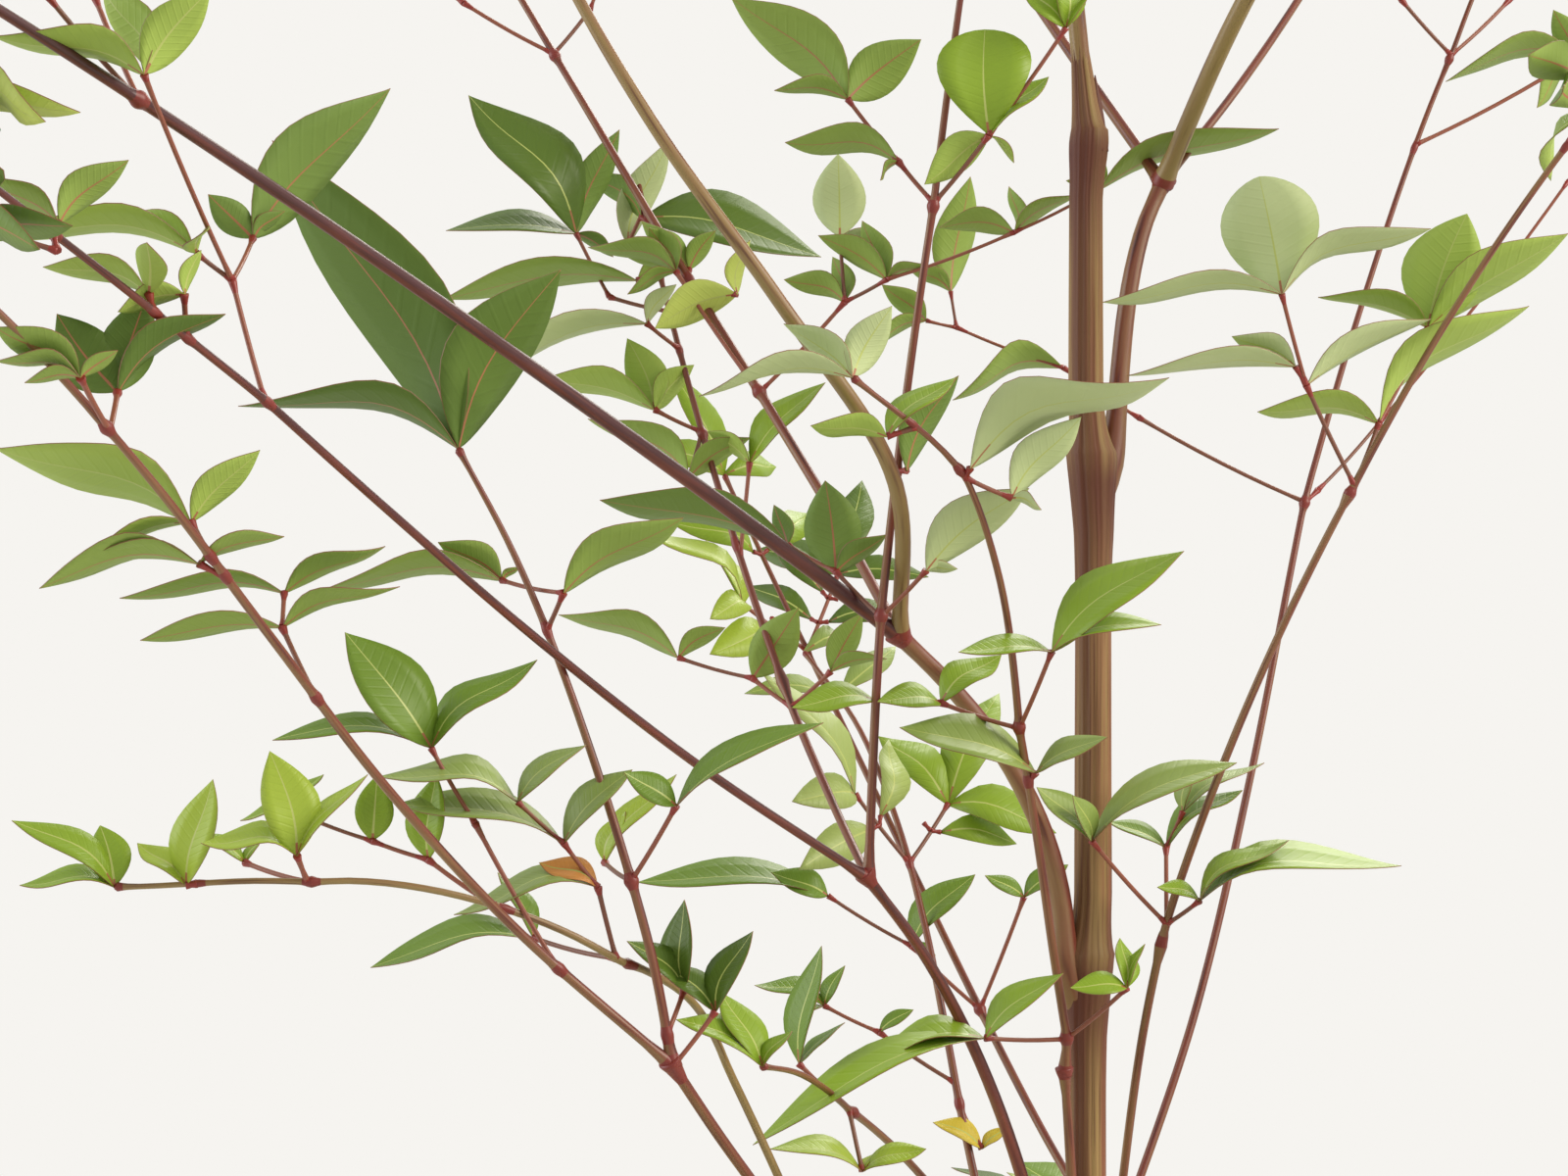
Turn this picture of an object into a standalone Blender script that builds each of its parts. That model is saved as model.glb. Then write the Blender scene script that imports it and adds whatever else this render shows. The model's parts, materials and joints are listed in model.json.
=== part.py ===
"""Heavenly bamboo, a single upright cane that carries large compound leaves all the way round.

The cane stands on a flat cut at ground level, at the origin, with +Z up. +X is to the viewer's right and
+Y goes away from the viewer. Each compound leaf is a main stalk, which springs from the cane, and two or three
limbs that part at the stalk's knuckle. A limb carries pairs of side twigs at its joints, and each twig
ends in a set of three leaflets. Sizes are metres and angles are degrees. A turn is a compass direction, with
0 along +X and 90 along +Y, and a rise is the slope above level.
"""

import math
import random
from dataclasses import dataclass

import bmesh
import bpy
from mathutils import Matrix, Vector
from mathutils.bvhtree import BVHTree

# The cane, from the ground to the dry bud at its top
CANE_HEIGHT = 0.984
CANE_FOOT_RADIUS = 0.0088
CANE_TOP_RADIUS = 0.0056
FLARE_RADIUS = 0.0175
FLARE_HEIGHT = 0.05
CANE_KNOT_SWELL = 1.16
CANE_KNOT_SPAN = 0.012
CANE_JOG = 0.0012
SCAR_HEIGHTS = (0.075, 0.125, 0.17)

# Stalks, limbs and twigs
STALK_ROOT_RADIUS = 0.0033
STALK_TIP_RADIUS = 0.0023
KNUCKLE_RADIUS = 0.0039
LIMB_ROOT_RADIUS = 0.0012
LIMB_RADIUS = 0.0020
LIMB_TIP_RADIUS = 0.0009
TWIG_RADIUS = 0.0009
TWIG_END_SWELL = 1.25
GAP = 0.0003
SEAT_REACH = 0.004
LIMB_STEPS = 6

# Side twigs: how far they part from the limb, how much they lift, and how long they are
SPREAD = 52.0
TWIG_LIFT = 0.30
TWIG_LENGTH = 0.052
TWIG_FADE = 0.45

# Leaflets, a little larger than life because the solids carry fewer of them
LEAFLET_LENGTH = 0.060
LEAFLET_WIDTH = 0.36
LEAFLET_THICKNESS = 0.022
LEAFLET_THICKEST = 0.14
LEAFLET_WIDEST = 0.40
LEAFLET_FOLD = 0.025
LEAFLET_DROOP = 0.13
LEAFLET_SINK = 0.0012
SIDE_LEAFLET = 0.80
SIDE_ANGLE = 64.0
CLEARANCE = 0.0006

# Masses whose leaflets take another seed, as their first one left two leaflets just touching
RESEED = {"fork_left": 1, "fork_right": 1, "forked_side": 1, "east_right": 4}


@dataclass(frozen=True)
class Limb:
    """A tapering stalk. It turns and rises by the angles at its foot, its middle and its tip.

    A joint is a share of its length, alone or followed by the turn, rise and reach of each twig that it carries.
    A joint that states none carries a seeded pair, turned round the limb by the roll.
    """

    name: str
    turns: tuple
    rises: tuple
    length: float
    joints: tuple = ()
    roll: float = 0.0


@dataclass(frozen=True)
class Leaf:
    """A compound leaf: where its main stalk leaves the cane or another stalk, and the limbs past its knuckle."""

    stalk: Limb
    limbs: tuple
    height: float = 0.0
    parent: str = ""


def fan(name, turn, rise, height):
    """A leaf that opens evenly, with one limb straight on and one to each side."""
    stalk = Limb(name + "_stalk", (turn, turn, turn), (62, 56, 48), 0.110)
    limbs = [Limb(name + "_middle", (turn, turn, turn), (rise + 8, rise, rise - 12), 0.30, (0.42, 0.74))]
    for side, away in (("left", 1), ("right", -1)):
        turns = (turn + 62 * away, turn + 52 * away, turn + 42 * away)
        limbs.append(Limb(f"{name}_{side}", turns, (rise + 4, rise - 2, rise - 14), 0.25, (0.52,)))
    return Leaf(stalk, tuple(limbs), height)


LEAVES = (
    Leaf(
        Limb("crest_stalk", (215, 205, 190), (83, 82, 78), 0.140),
        (
            Limb("crest_up", (130, 120, 110), (74, 68, 60), 0.32, (0.42, 0.74)),
            Limb("crest_left", (206, 204, 200), (42, 46, 48), 0.33, (0.42, 0.74)),
            Limb("crest_right", (20, 12, 8), (40, 46, 48), 0.33, (0.42, 0.74)),
        ),
        height=CANE_HEIGHT,
    ),
    Leaf(
        Limb("upper_stalk", (39, 41, 38), (80, 80, 54), 0.105),
        (
            Limb("upper_right", (288, 316, 331), (45, 49, 58), 0.42, (0.44, 0.74)),
            Limb("upper_left", (126, 120, 116), (46, 46, 54), 0.34, (0.42, 0.74)),
            Limb("upper_back", (48, 54, 60), (38, 44, 48), 0.34, (0.42, 0.74)),
        ),
        height=0.868,
    ),
    Leaf(
        Limb("left_stalk", (208, 204, 206), (94, 59, 39), 0.137),
        (
            Limb("left_reach", (216, 231, 233), (31, 23, 18), 0.50, (0.71, 0.87)),
            Limb("left_rise", (298, 173, 223), (50, 57, 84), 0.42, (0.72, 0.88)),
            Limb(
                "left_back",
                (105, 142, 140),
                (30, 53, 49),
                0.43,
                ((0.31, (146, 53, 0.058), (10, 45, 0.048)), (0.69, (180, 34, 0.040), (62, 38, 0.044))),
            ),
        ),
        height=0.694,
    ),
    Leaf(
        Limb("front_stalk", (242, 242, 242), (84, 82, 80), 0.072),
        (
            Limb(
                "front_rise",
                (249, 240, 216),
                (67, 70, 24),
                0.27,
                (
                    (0.05, (199, 23, 0.034), (322, 51, 0.040)),
                    (0.46, (286, 49, 0.032), (160, 13, 0.031)),
                    (0.81, (299, 6, 0.035), (131, 30, 0.031)),
                ),
            ),
        ),
        height=0.588,
    ),
    Leaf(
        Limb("low_left_stalk", (209, 210, 213), (78, 66, 45), 0.187),
        (
            Limb(
                "low_left_reach",
                (216, 235, 236),
                (27, 29, 22),
                0.50,
                ((0.61, (157, 67, 0.099), (250, -25, 0.047)), 0.80),
            ),
            Limb(
                "low_left_rise",
                (290, 330, 352),
                (86, 83, 80),
                0.40,
                (
                    (0.22, (148, 31, 0.044), (334, 39, 0.059)),
                    (0.56, (160, 52, 0.046), (341, 50, 0.073)),
                    (0.80, (170, 45, 0.042), (350, 40, 0.045)),
                ),
            ),
            Limb(
                "low_left_back",
                (102, 121, 106),
                (26, 58, 52),
                0.33,
                ((0.33, (151, 15, 0.042), (338, 7, 0.026)), 0.64),
            ),
        ),
        height=0.562,
    ),
    Leaf(
        Limb("right_stalk", (66, 66, 66), (77, 80, 83), 0.080),
        (
            Limb(
                "right_front",
                (290, 345, 338),
                (75, 64, 44),
                0.52,
                (
                    (0.22, (215, 43, 0.048), (313, 38, 0.020), (87, 54, 0.034)),
                    (0.54, (215, 63, 0.076), (36, 60, 0.068)),
                    0.80,
                ),
            ),
            Limb(
                "right_back",
                (40, 50, 14),
                (56, 69, 65),
                0.54,
                ((0.53, (176, 27, 0.150), (52, 33, 0.061)), (0.87, (180, 58, 0.041), (34, 46, 0.052))),
            ),
            Limb(
                "right_behind",
                (121, 128, 160),
                (38, 52, 64),
                0.36,
                ((0.32, (170, 34, 0.070), (331, 60, 0.042)), 0.78),
            ),
        ),
        height=0.512,
    ),
    Leaf(
        Limb("rear_stalk", (122, 122, 122), (64, 62, 58), 0.090),
        (
            Limb(
                "rear_rise",
                (122, 117, 128),
                (64, 64, 30),
                0.27,
                ((0.25, (168, 32, 0.058), (340, 67, 0.075)), 0.60),
            ),
            Limb("rear_arch", (243, 236, 243), (41, 31, 4), 0.205, ((0.62, (132, 57, 0.025), (310, 10, 0.025)),)),
            Limb("rear_low", (62, 66, 72), (-6, -4, -8), 0.28, (0.42, 0.74)),
        ),
        height=0.496,
    ),
    Leaf(
        Limb("forked_stalk", (218, 218, 218), (60, 54, 46), 0.104),
        (Limb("forked_side", (280, 284, 290), (18, 12, 4), 0.28, (0.46, 0.76)),),
        height=0.443,
    ),
    Leaf(
        Limb("arching_stalk", (196, 196, 196), (68, 64, 58), 0.100),
        (
            Limb(
                "arching_limb",
                (234, 221, 164),
                (55, 44, -23),
                0.424,
                ((0.61, (210, 70, 0.044), (120, 10, 0.035)), (0.86, (279, 39, 0.014), (130, 5, 0.025))),
            ),
        ),
        height=0.415,
    ),
    Leaf(
        Limb("fork", (231, 226, 229), (62, 48, 50), 0.192),
        (
            Limb(
                "fork_left",
                (194, 238, 206),
                (39, 41, 34),
                0.42,
                ((0.43, (115, 35, 0.041), (241, 4, 0.034)), (0.71, (91, 27, 0.024), (260, 27, 0.024))),
            ),
            Limb(
                "fork_right",
                (232, 161, 187),
                (79, 70, 60),
                0.206,
                ((0.29, (311, 41, 0.026), (112, 12, 0.033)), (0.69, (128, 21, 0.027), (302, -3, 0.024))),
            ),
        ),
        parent="forked_stalk",
    ),
    fan("east", 338, 34, 0.395),
    fan("north", 86, 22, 0.350),
    fan("west", 168, 26, 0.305),
    fan("south", 276, 22, 0.262),
    fan("low_east", 30, 26, 0.222),
)

# Colours as red, green and blue, with roughness
CANE_BARK = ("cane bark", (0.22, 0.14, 0.07), 0.55)
STALK_SKIN = ("stalk skin", (0.19, 0.07, 0.045), 0.45)
LEAF_GREEN = ("leaf green", (0.20, 0.34, 0.06), 0.40)


def clear_scene():
    for old in list(bpy.data.objects):
        bpy.data.objects.remove(old)


def collection(name):
    made = bpy.data.collections.new(name)
    bpy.context.scene.collection.children.link(made)
    return made


def material(name, colour, roughness):
    """A plain non-metallic surface. A second call with the same name gives the first one's material."""
    found = bpy.data.materials.get(name)
    if found:
        return found
    made = bpy.data.materials.new(name)
    made.use_nodes = True
    shader = made.node_tree.nodes["Principled BSDF"]
    shader.inputs["Base Color"].default_value = (*colour, 1)
    shader.inputs["Roughness"].default_value = roughness
    shader.inputs["Metallic"].default_value = 0
    return made


def heading(turn, rise):
    """The unit vector that a turn and a rise give."""
    t, r = math.radians(turn), math.radians(rise)
    return Vector((math.cos(t) * math.cos(r), math.sin(t) * math.cos(r), math.sin(r)))


def blend(angles, along):
    """The angle at a share of the way along, on the even curve through those at the foot, middle and tip."""
    foot, middle, tip = angles
    return foot * (1 - along) * (1 - 2 * along) + middle * 4 * along * (1 - along) + tip * along * (2 * along - 1)


def route(start, limb, steps):
    """Points along a limb from its foot to its tip, in equal steps."""
    points = [Vector(start)]
    for i in range(steps):
        along = (i + 0.5) / steps
        ahead = heading(blend(limb.turns, along), blend(limb.rises, along))
        points.append(points[-1] + ahead * (limb.length / steps))
    return points


def at(points, share):
    """The place and the direction at a share of the way along evenly spaced points."""
    place = min(max(share, 0.0), 1.0) * (len(points) - 1)
    i = min(int(place), len(points) - 2)
    ahead = points[i + 1] - points[i]
    return points[i] + ahead * (place - i), ahead.normalized()


def face_up(ahead, inward, roll=0.0):
    """The direction that the upper side of a limb or a leaflet faces: upwards, and towards the cane if it is steep."""
    wanted = Vector((0, 0, 1)) + 0.45 * inward
    up = (wanted - ahead * wanted.dot(ahead)).normalized()
    return Matrix.Rotation(math.radians(roll), 3, ahead) @ up


def mesh_object(name, mesh, where):
    made = bpy.data.objects.new(name, mesh)
    where.objects.link(made)
    return made


def rod(name, points, radii, sides_step, where):
    """A tapering rod along the points, made as a bevelled curve with filled caps and turned into a mesh."""
    line = bpy.data.curves.new(name, "CURVE")
    line.dimensions = "3D"
    line.bevel_depth = 1.0
    line.bevel_resolution = sides_step
    line.use_fill_caps = True
    spline = line.splines.new("POLY")
    spline.points.add(len(points) - 1)
    for target, point, radius in zip(spline.points, points, radii):
        target.co = (*point, 1)
        target.radius = radius
    guide = mesh_object(name + "_line", line, where)
    graph = bpy.context.evaluated_depsgraph_get()
    mesh = bpy.data.meshes.new_from_object(guide.evaluated_get(graph))
    bpy.data.objects.remove(guide)
    shape = bmesh.new()
    shape.from_mesh(mesh)
    bmesh.ops.remove_doubles(shape, verts=shape.verts, dist=1e-6)
    bmesh.ops.recalc_face_normals(shape, faces=shape.faces)
    shape.to_mesh(mesh)
    shape.free()
    return mesh_object(name, mesh, where)


def cane_radius(height, knots):
    """The cane's radius: a root flare, an even taper, and a swelling at each knot that carries a leaf."""
    share = height / CANE_HEIGHT
    radius = CANE_FOOT_RADIUS + (CANE_TOP_RADIUS - CANE_FOOT_RADIUS) * share
    flare = max(0.0, 1 - height / FLARE_HEIGHT)
    radius += (FLARE_RADIUS - CANE_FOOT_RADIUS) * flare**2
    near = min(abs(height - knot) for knot in knots)
    return radius * (1 + (CANE_KNOT_SWELL - 1) * max(0.0, 1 - near / CANE_KNOT_SPAN))


def cane_axis(height, knots):
    """The cane's centre line, which jogs a little to the other side at each knot."""
    passed = sum(height > knot for knot in knots)
    side = 1 if passed % 2 else -1
    nearest = min(abs(height - knot) for knot in knots)
    jog = CANE_JOG * side * min(1.0, nearest / (2 * CANE_KNOT_SPAN))
    return Vector((jog if height > FLARE_HEIGHT else 0, 0, height))


def knots_of(leaves):
    """The heights of the cane's knots, old leaf scars included."""
    return sorted([*SCAR_HEIGHTS, *(leaf.height for leaf in leaves if leaf.height)])


def make_cane(where, knots):
    heights = [0, FLARE_HEIGHT * 0.3, FLARE_HEIGHT * 0.65, FLARE_HEIGHT]
    for knot in knots[:-1]:
        heights += [knot - CANE_KNOT_SPAN, knot, knot + CANE_KNOT_SPAN]
    heights += [CANE_HEIGHT - CANE_KNOT_SPAN, CANE_HEIGHT]
    heights = sorted(set(heights))
    points = [cane_axis(height, knots) for height in heights]
    radii = [cane_radius(height, knots) for height in heights]
    radii[-1] = CANE_TOP_RADIUS
    cane = rod("cane", points, radii, 2, where)
    cane.data.materials.append(material(*CANE_BARK))
    return cane


def stalk_foot(leaf, knots, tips):
    """Where a main stalk starts: beside the cane at its knot, on the cane's top, or at its parent's knuckle."""
    turn, rise = leaf.stalk.turns[0], leaf.stalk.rises[0]
    ahead = heading(turn, rise)
    if leaf.parent:
        return tips[leaf.parent] + ahead * KNUCKLE_RADIUS
    if leaf.height >= CANE_HEIGHT:
        tilt = STALK_ROOT_RADIUS * math.cos(math.radians(rise))
        return cane_axis(CANE_HEIGHT, knots) + Vector((0, 0, tilt + GAP))
    out = cane_radius(leaf.height, knots) + STALK_ROOT_RADIUS + GAP
    return cane_axis(leaf.height, knots) + heading(turn, 0) * out


def make_stalk(leaf, foot, where):
    """A main stalk with the knuckle near its tip, where the limbs part, and the points along it."""
    points = route(foot, leaf.stalk, LIMB_STEPS)
    root = LIMB_RADIUS if leaf.parent else STALK_ROOT_RADIUS
    radii = [root + (STALK_TIP_RADIUS - root) * i / LIMB_STEPS for i in range(LIMB_STEPS + 1)]
    if leaf.parent:
        radii[0] = LIMB_ROOT_RADIUS
    knuckle, ahead = at(points, 1.0)
    points[-1] = knuckle - ahead * KNUCKLE_RADIUS
    points += [knuckle, knuckle + ahead * KNUCKLE_RADIUS * 0.6]
    radii += [KNUCKLE_RADIUS, KNUCKLE_RADIUS * 0.5]
    stalk = rod(leaf.stalk.name, points, radii, 1, where)
    stalk.data.materials.append(material(*STALK_SKIN))
    return stalk, points


def make_limb(limb, knuckle, where):
    """A limb from just off its knuckle to its tip: slim at its foot, full soon after and then tapering."""
    points = route(knuckle, limb, LIMB_STEPS)
    points[0] += (points[1] - points[0]).normalized() * KNUCKLE_RADIUS
    fall = (LIMB_RADIUS - LIMB_TIP_RADIUS) / LIMB_STEPS
    radii = [LIMB_RADIUS - fall * i for i in range(LIMB_STEPS + 1)]
    radii[0] = LIMB_ROOT_RADIUS
    return rod(limb.name, points, radii, 0, where), points


def leaflet_shape(length, grow=0.0):
    """An eight-faced leaflet that lies along +X with its upper side up: folded along its middle, with a drooping tip."""
    shape = bmesh.new()
    bmesh.ops.create_uvsphere(shape, u_segments=4, v_segments=2, radius=1)
    wide = LEAFLET_WIDTH * length / 2 + grow
    thick = LEAFLET_THICKNESS * length / 2 + grow
    for vert in shape.verts:
        x, y, z = vert.co
        if abs(z) > 0.5:
            tip = z > 0
            vert.co = Vector((length + grow if tip else -grow, 0, -LEAFLET_DROOP * length if tip else 0))
        else:
            edge = abs(x) > abs(y)
            ahead = (LEAFLET_WIDEST if edge else LEAFLET_THICKEST) * length
            across = math.copysign(wide, x) if edge else 0
            up = LEAFLET_FOLD * length if edge else math.copysign(thick, y)
            vert.co = Vector((ahead, across, up))
    bmesh.ops.recalc_face_normals(shape, faces=shape.faces)
    return shape


def placed(shape, start, ahead, up):
    """The shape with its +X turned to ahead and its upper side to up, moved to start."""
    side = up.cross(ahead).normalized()
    frame = Matrix((ahead, side, ahead.cross(side))).transposed().to_4x4()
    bmesh.ops.transform(shape, matrix=Matrix.Translation(start) @ frame, verts=shape.verts)
    return shape


def twig_shape(start, end, radius, grow=0.0):
    """A straight three-sided twig from start to end."""
    ahead = end - start
    shape = bmesh.new()
    bmesh.ops.create_cone(
        shape,
        cap_ends=True,
        segments=3,
        radius1=radius + grow,
        radius2=radius * TWIG_END_SWELL + grow,
        depth=ahead.length,
    )
    turned = ahead.to_track_quat("Z", "Y").to_matrix().to_4x4()
    middle = Matrix.Translation((start + end) / 2)
    bmesh.ops.transform(shape, matrix=middle @ turned, verts=shape.verts)
    return shape


class Space:
    """What already stands, by node, so that a new piece can be tried against it."""

    def __init__(self):
        self.taken = []

    def add(self, node, shape):
        corners = [vert.co.copy() for vert in shape.verts]
        low = Vector([min(c[i] for c in corners) for i in range(3)])
        high = Vector([max(c[i] for c in corners) for i in range(3)])
        self.taken.append((node, low, high, BVHTree.FromBMesh(shape), corners))

    def touches(self, node, shape, own_too=False, spare=()):
        """Whether the shape meets another node's piece, or with own_too one of its own node's past the spared ones."""
        tree = BVHTree.FromBMesh(shape)
        corners = [vert.co for vert in shape.verts]
        low = Vector([min(c[i] for c in corners) for i in range(3)])
        high = Vector([max(c[i] for c in corners) for i in range(3)])
        for index, (owner, lowest, highest, other, _) in enumerate(self.taken):
            if owner == node and (not own_too or index in spare):
                continue
            apart = any(low[i] > highest[i] or high[i] < lowest[i] for i in range(3))
            if not apart and tree.overlap(other):
                return True
        return False

    def room(self, shape):
        """The least distance from the shape's corners and faces to what stands, or -1 where they cross."""
        tree = BVHTree.FromBMesh(shape)
        least = 2 * SEAT_REACH
        for *_, other, others in self.taken:
            if tree.overlap(other):
                return -1
            for surface, places in ((other, [vert.co for vert in shape.verts]), (tree, others)):
                for place in places:
                    away = surface.find_nearest(place, least)[3]
                    least = least if away is None else away
        return least

    def seat(self, obj, points, way):
        """Slides the object along the way until just the gap is left, then adds it. It gives the moved points."""
        shape = bmesh.new()
        shape.from_mesh(obj.data)
        slid, clear, blocked = 0, -SEAT_REACH, SEAT_REACH
        for step in range(12):
            target = (clear + blocked) / 2 if step < 11 else clear
            bmesh.ops.translate(shape, verts=shape.verts, vec=way * (target - slid))
            slid = target
            if step < 11 and self.room(shape) < GAP:
                blocked = target
            elif step < 11:
                clear = target
        shape.to_mesh(obj.data)
        self.add(obj.name, shape)
        shape.free()
        return [point + way * clear for point in points]


@dataclass
class Mass:
    """One limb with its twigs and leaflets: the pieces that are fused into one node."""

    limb: Limb
    stem: object
    points: list
    inward: Vector
    pieces: list
    sets: list


def add_piece(mass, shape, where):
    mesh = bpy.data.meshes.new(mass.limb.name)
    shape.to_mesh(mesh)
    mass.pieces.append(mesh_object(f"{mass.limb.name}_piece", mesh, where))


def twigs_at(joint, points, inward, roll, dice):
    """The place of a joint, its share, and the direction and reach of each twig there, stated or seeded."""
    if isinstance(joint, tuple):
        share, *stated = joint
        place, _ = at(points, share)
        return place, share, [(heading(turn, rise), reach) for turn, rise, reach in stated]
    place, ahead = at(points, joint)
    up = face_up(ahead, inward, roll)
    across = ahead.cross(up)
    seeded = []
    for side in (-1, 1):
        reach = TWIG_LENGTH * (1 - TWIG_FADE * joint) * dice.uniform(0.75, 1.25)
        angle = math.radians(SPREAD + dice.uniform(-8, 8))
        lift = TWIG_LIFT + dice.uniform(-0.12, 0.12)
        out = ahead * math.cos(angle) + across * side * math.sin(angle) + Vector((0, 0, lift))
        seeded.append((out.normalized(), reach))
    return place, joint, seeded


def grow_twigs(mass, space, where):
    """The side twigs at the limb's joints, and the places where sets of leaflets will stand."""
    dice = random.Random(mass.limb.name)
    name = mass.limb.name
    for joint in mass.limb.joints:
        place, share, twigs = twigs_at(joint, mass.points, mass.inward, mass.limb.roll, dice)
        for out, reach in twigs:
            end = place + out * reach
            if space.touches(name, twig_shape(place, end, TWIG_RADIUS, CLEARANCE)):
                continue
            shape = twig_shape(place, end, TWIG_RADIUS)
            space.add(name, shape)
            mass.sets.append((end - out * LEAFLET_SINK, out, 1 - 0.25 * share, len(space.taken) - 1))
            add_piece(mass, shape, where)
            shape.free()
    tip, ahead = at(mass.points, 1.0)
    stem = next(i for i, taken in enumerate(space.taken) if taken[0] == name)
    mass.sets.append((tip - ahead * LEAFLET_SINK, ahead, 0.85, stem))


def grow_leaflets(mass, space, where):
    """A set of three leaflets at each twig's end: the middle one straight on and the others to its sides."""
    dice = random.Random(f"{mass.limb.name} leaflets {RESEED.get(mass.limb.name, 0)}")
    name = mass.limb.name
    for start, out, size, twig in mass.sets:
        up = face_up(out, mass.inward, dice.uniform(-25, 25))
        siblings = [twig]
        for order, angle in enumerate((0.0, -SIDE_ANGLE, SIDE_ANGLE)):
            foot = start - out * LEAFLET_SINK * order
            ahead = Matrix.Rotation(math.radians(angle + dice.uniform(-9, 9)), 3, up) @ out
            share = SIDE_LEAFLET if angle else 1.0
            length = LEAFLET_LENGTH * size * share * dice.uniform(0.88, 1.12)
            if angle:
                ahead = (ahead - Vector((0, 0, 0.12))).normalized()
            top = (up - ahead * up.dot(ahead)).normalized()
            trial = placed(leaflet_shape(length, CLEARANCE), foot, ahead, top)
            blocked = space.touches(name, trial, own_too=True, spare=siblings)
            trial.free()
            if blocked:
                continue
            shape = placed(leaflet_shape(length), foot, ahead, top)
            space.add(name, shape)
            siblings.append(len(space.taken) - 1)
            add_piece(mass, shape, where)
            shape.free()


def fuse(mass, scrap):
    """One Boolean union of the limb with its twigs and leaflets, applied, with the pieces then removed."""
    union = mass.stem.modifiers.new("leaves", "BOOLEAN")
    union.operation = "UNION"
    union.operand_type = "COLLECTION"
    union.collection = scrap
    union.solver = "EXACT"
    graph = bpy.context.evaluated_depsgraph_get()
    mesh = bpy.data.meshes.new_from_object(mass.stem.evaluated_get(graph))
    mass.stem.modifiers.clear()
    mass.stem.data = mesh
    mass.stem.data.materials.clear()
    mass.stem.data.materials.append(material(*LEAF_GREEN))
    for piece in mass.pieces:
        bpy.data.objects.remove(piece)


def main():
    clear_scene()
    plant = collection("heavenly bamboo")
    knots = knots_of(LEAVES)
    space = Space()
    space.seat(make_cane(plant, knots), [], Vector())
    tips, masses = {}, []
    for leaf in LEAVES:
        stalk, points = make_stalk(leaf, stalk_foot(leaf, knots, tips), plant)
        way = heading(leaf.stalk.turns[0] + 180, 0)
        if leaf.parent or leaf.height >= CANE_HEIGHT:
            way = (points[0] - points[1]).normalized()
        knuckle = space.seat(stalk, points, way)[-2]
        tips[leaf.stalk.name] = knuckle
        for limb in leaf.limbs:
            stem, points = make_limb(limb, knuckle, plant)
            points = space.seat(stem, points, (points[0] - points[1]).normalized())
            outward = points[len(points) // 2].copy()
            outward.z = 0
            scrap = collection(limb.name + "_pieces")
            masses.append((Mass(limb, stem, points, -outward.normalized(), [], []), scrap))
    for mass, scrap in masses:
        grow_twigs(mass, space, scrap)
    for mass, scrap in masses:
        grow_leaflets(mass, space, scrap)
    for mass, scrap in masses:
        fuse(mass, scrap)
        bpy.data.collections.remove(scrap)


if __name__ == "__main__":
    main()
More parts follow.
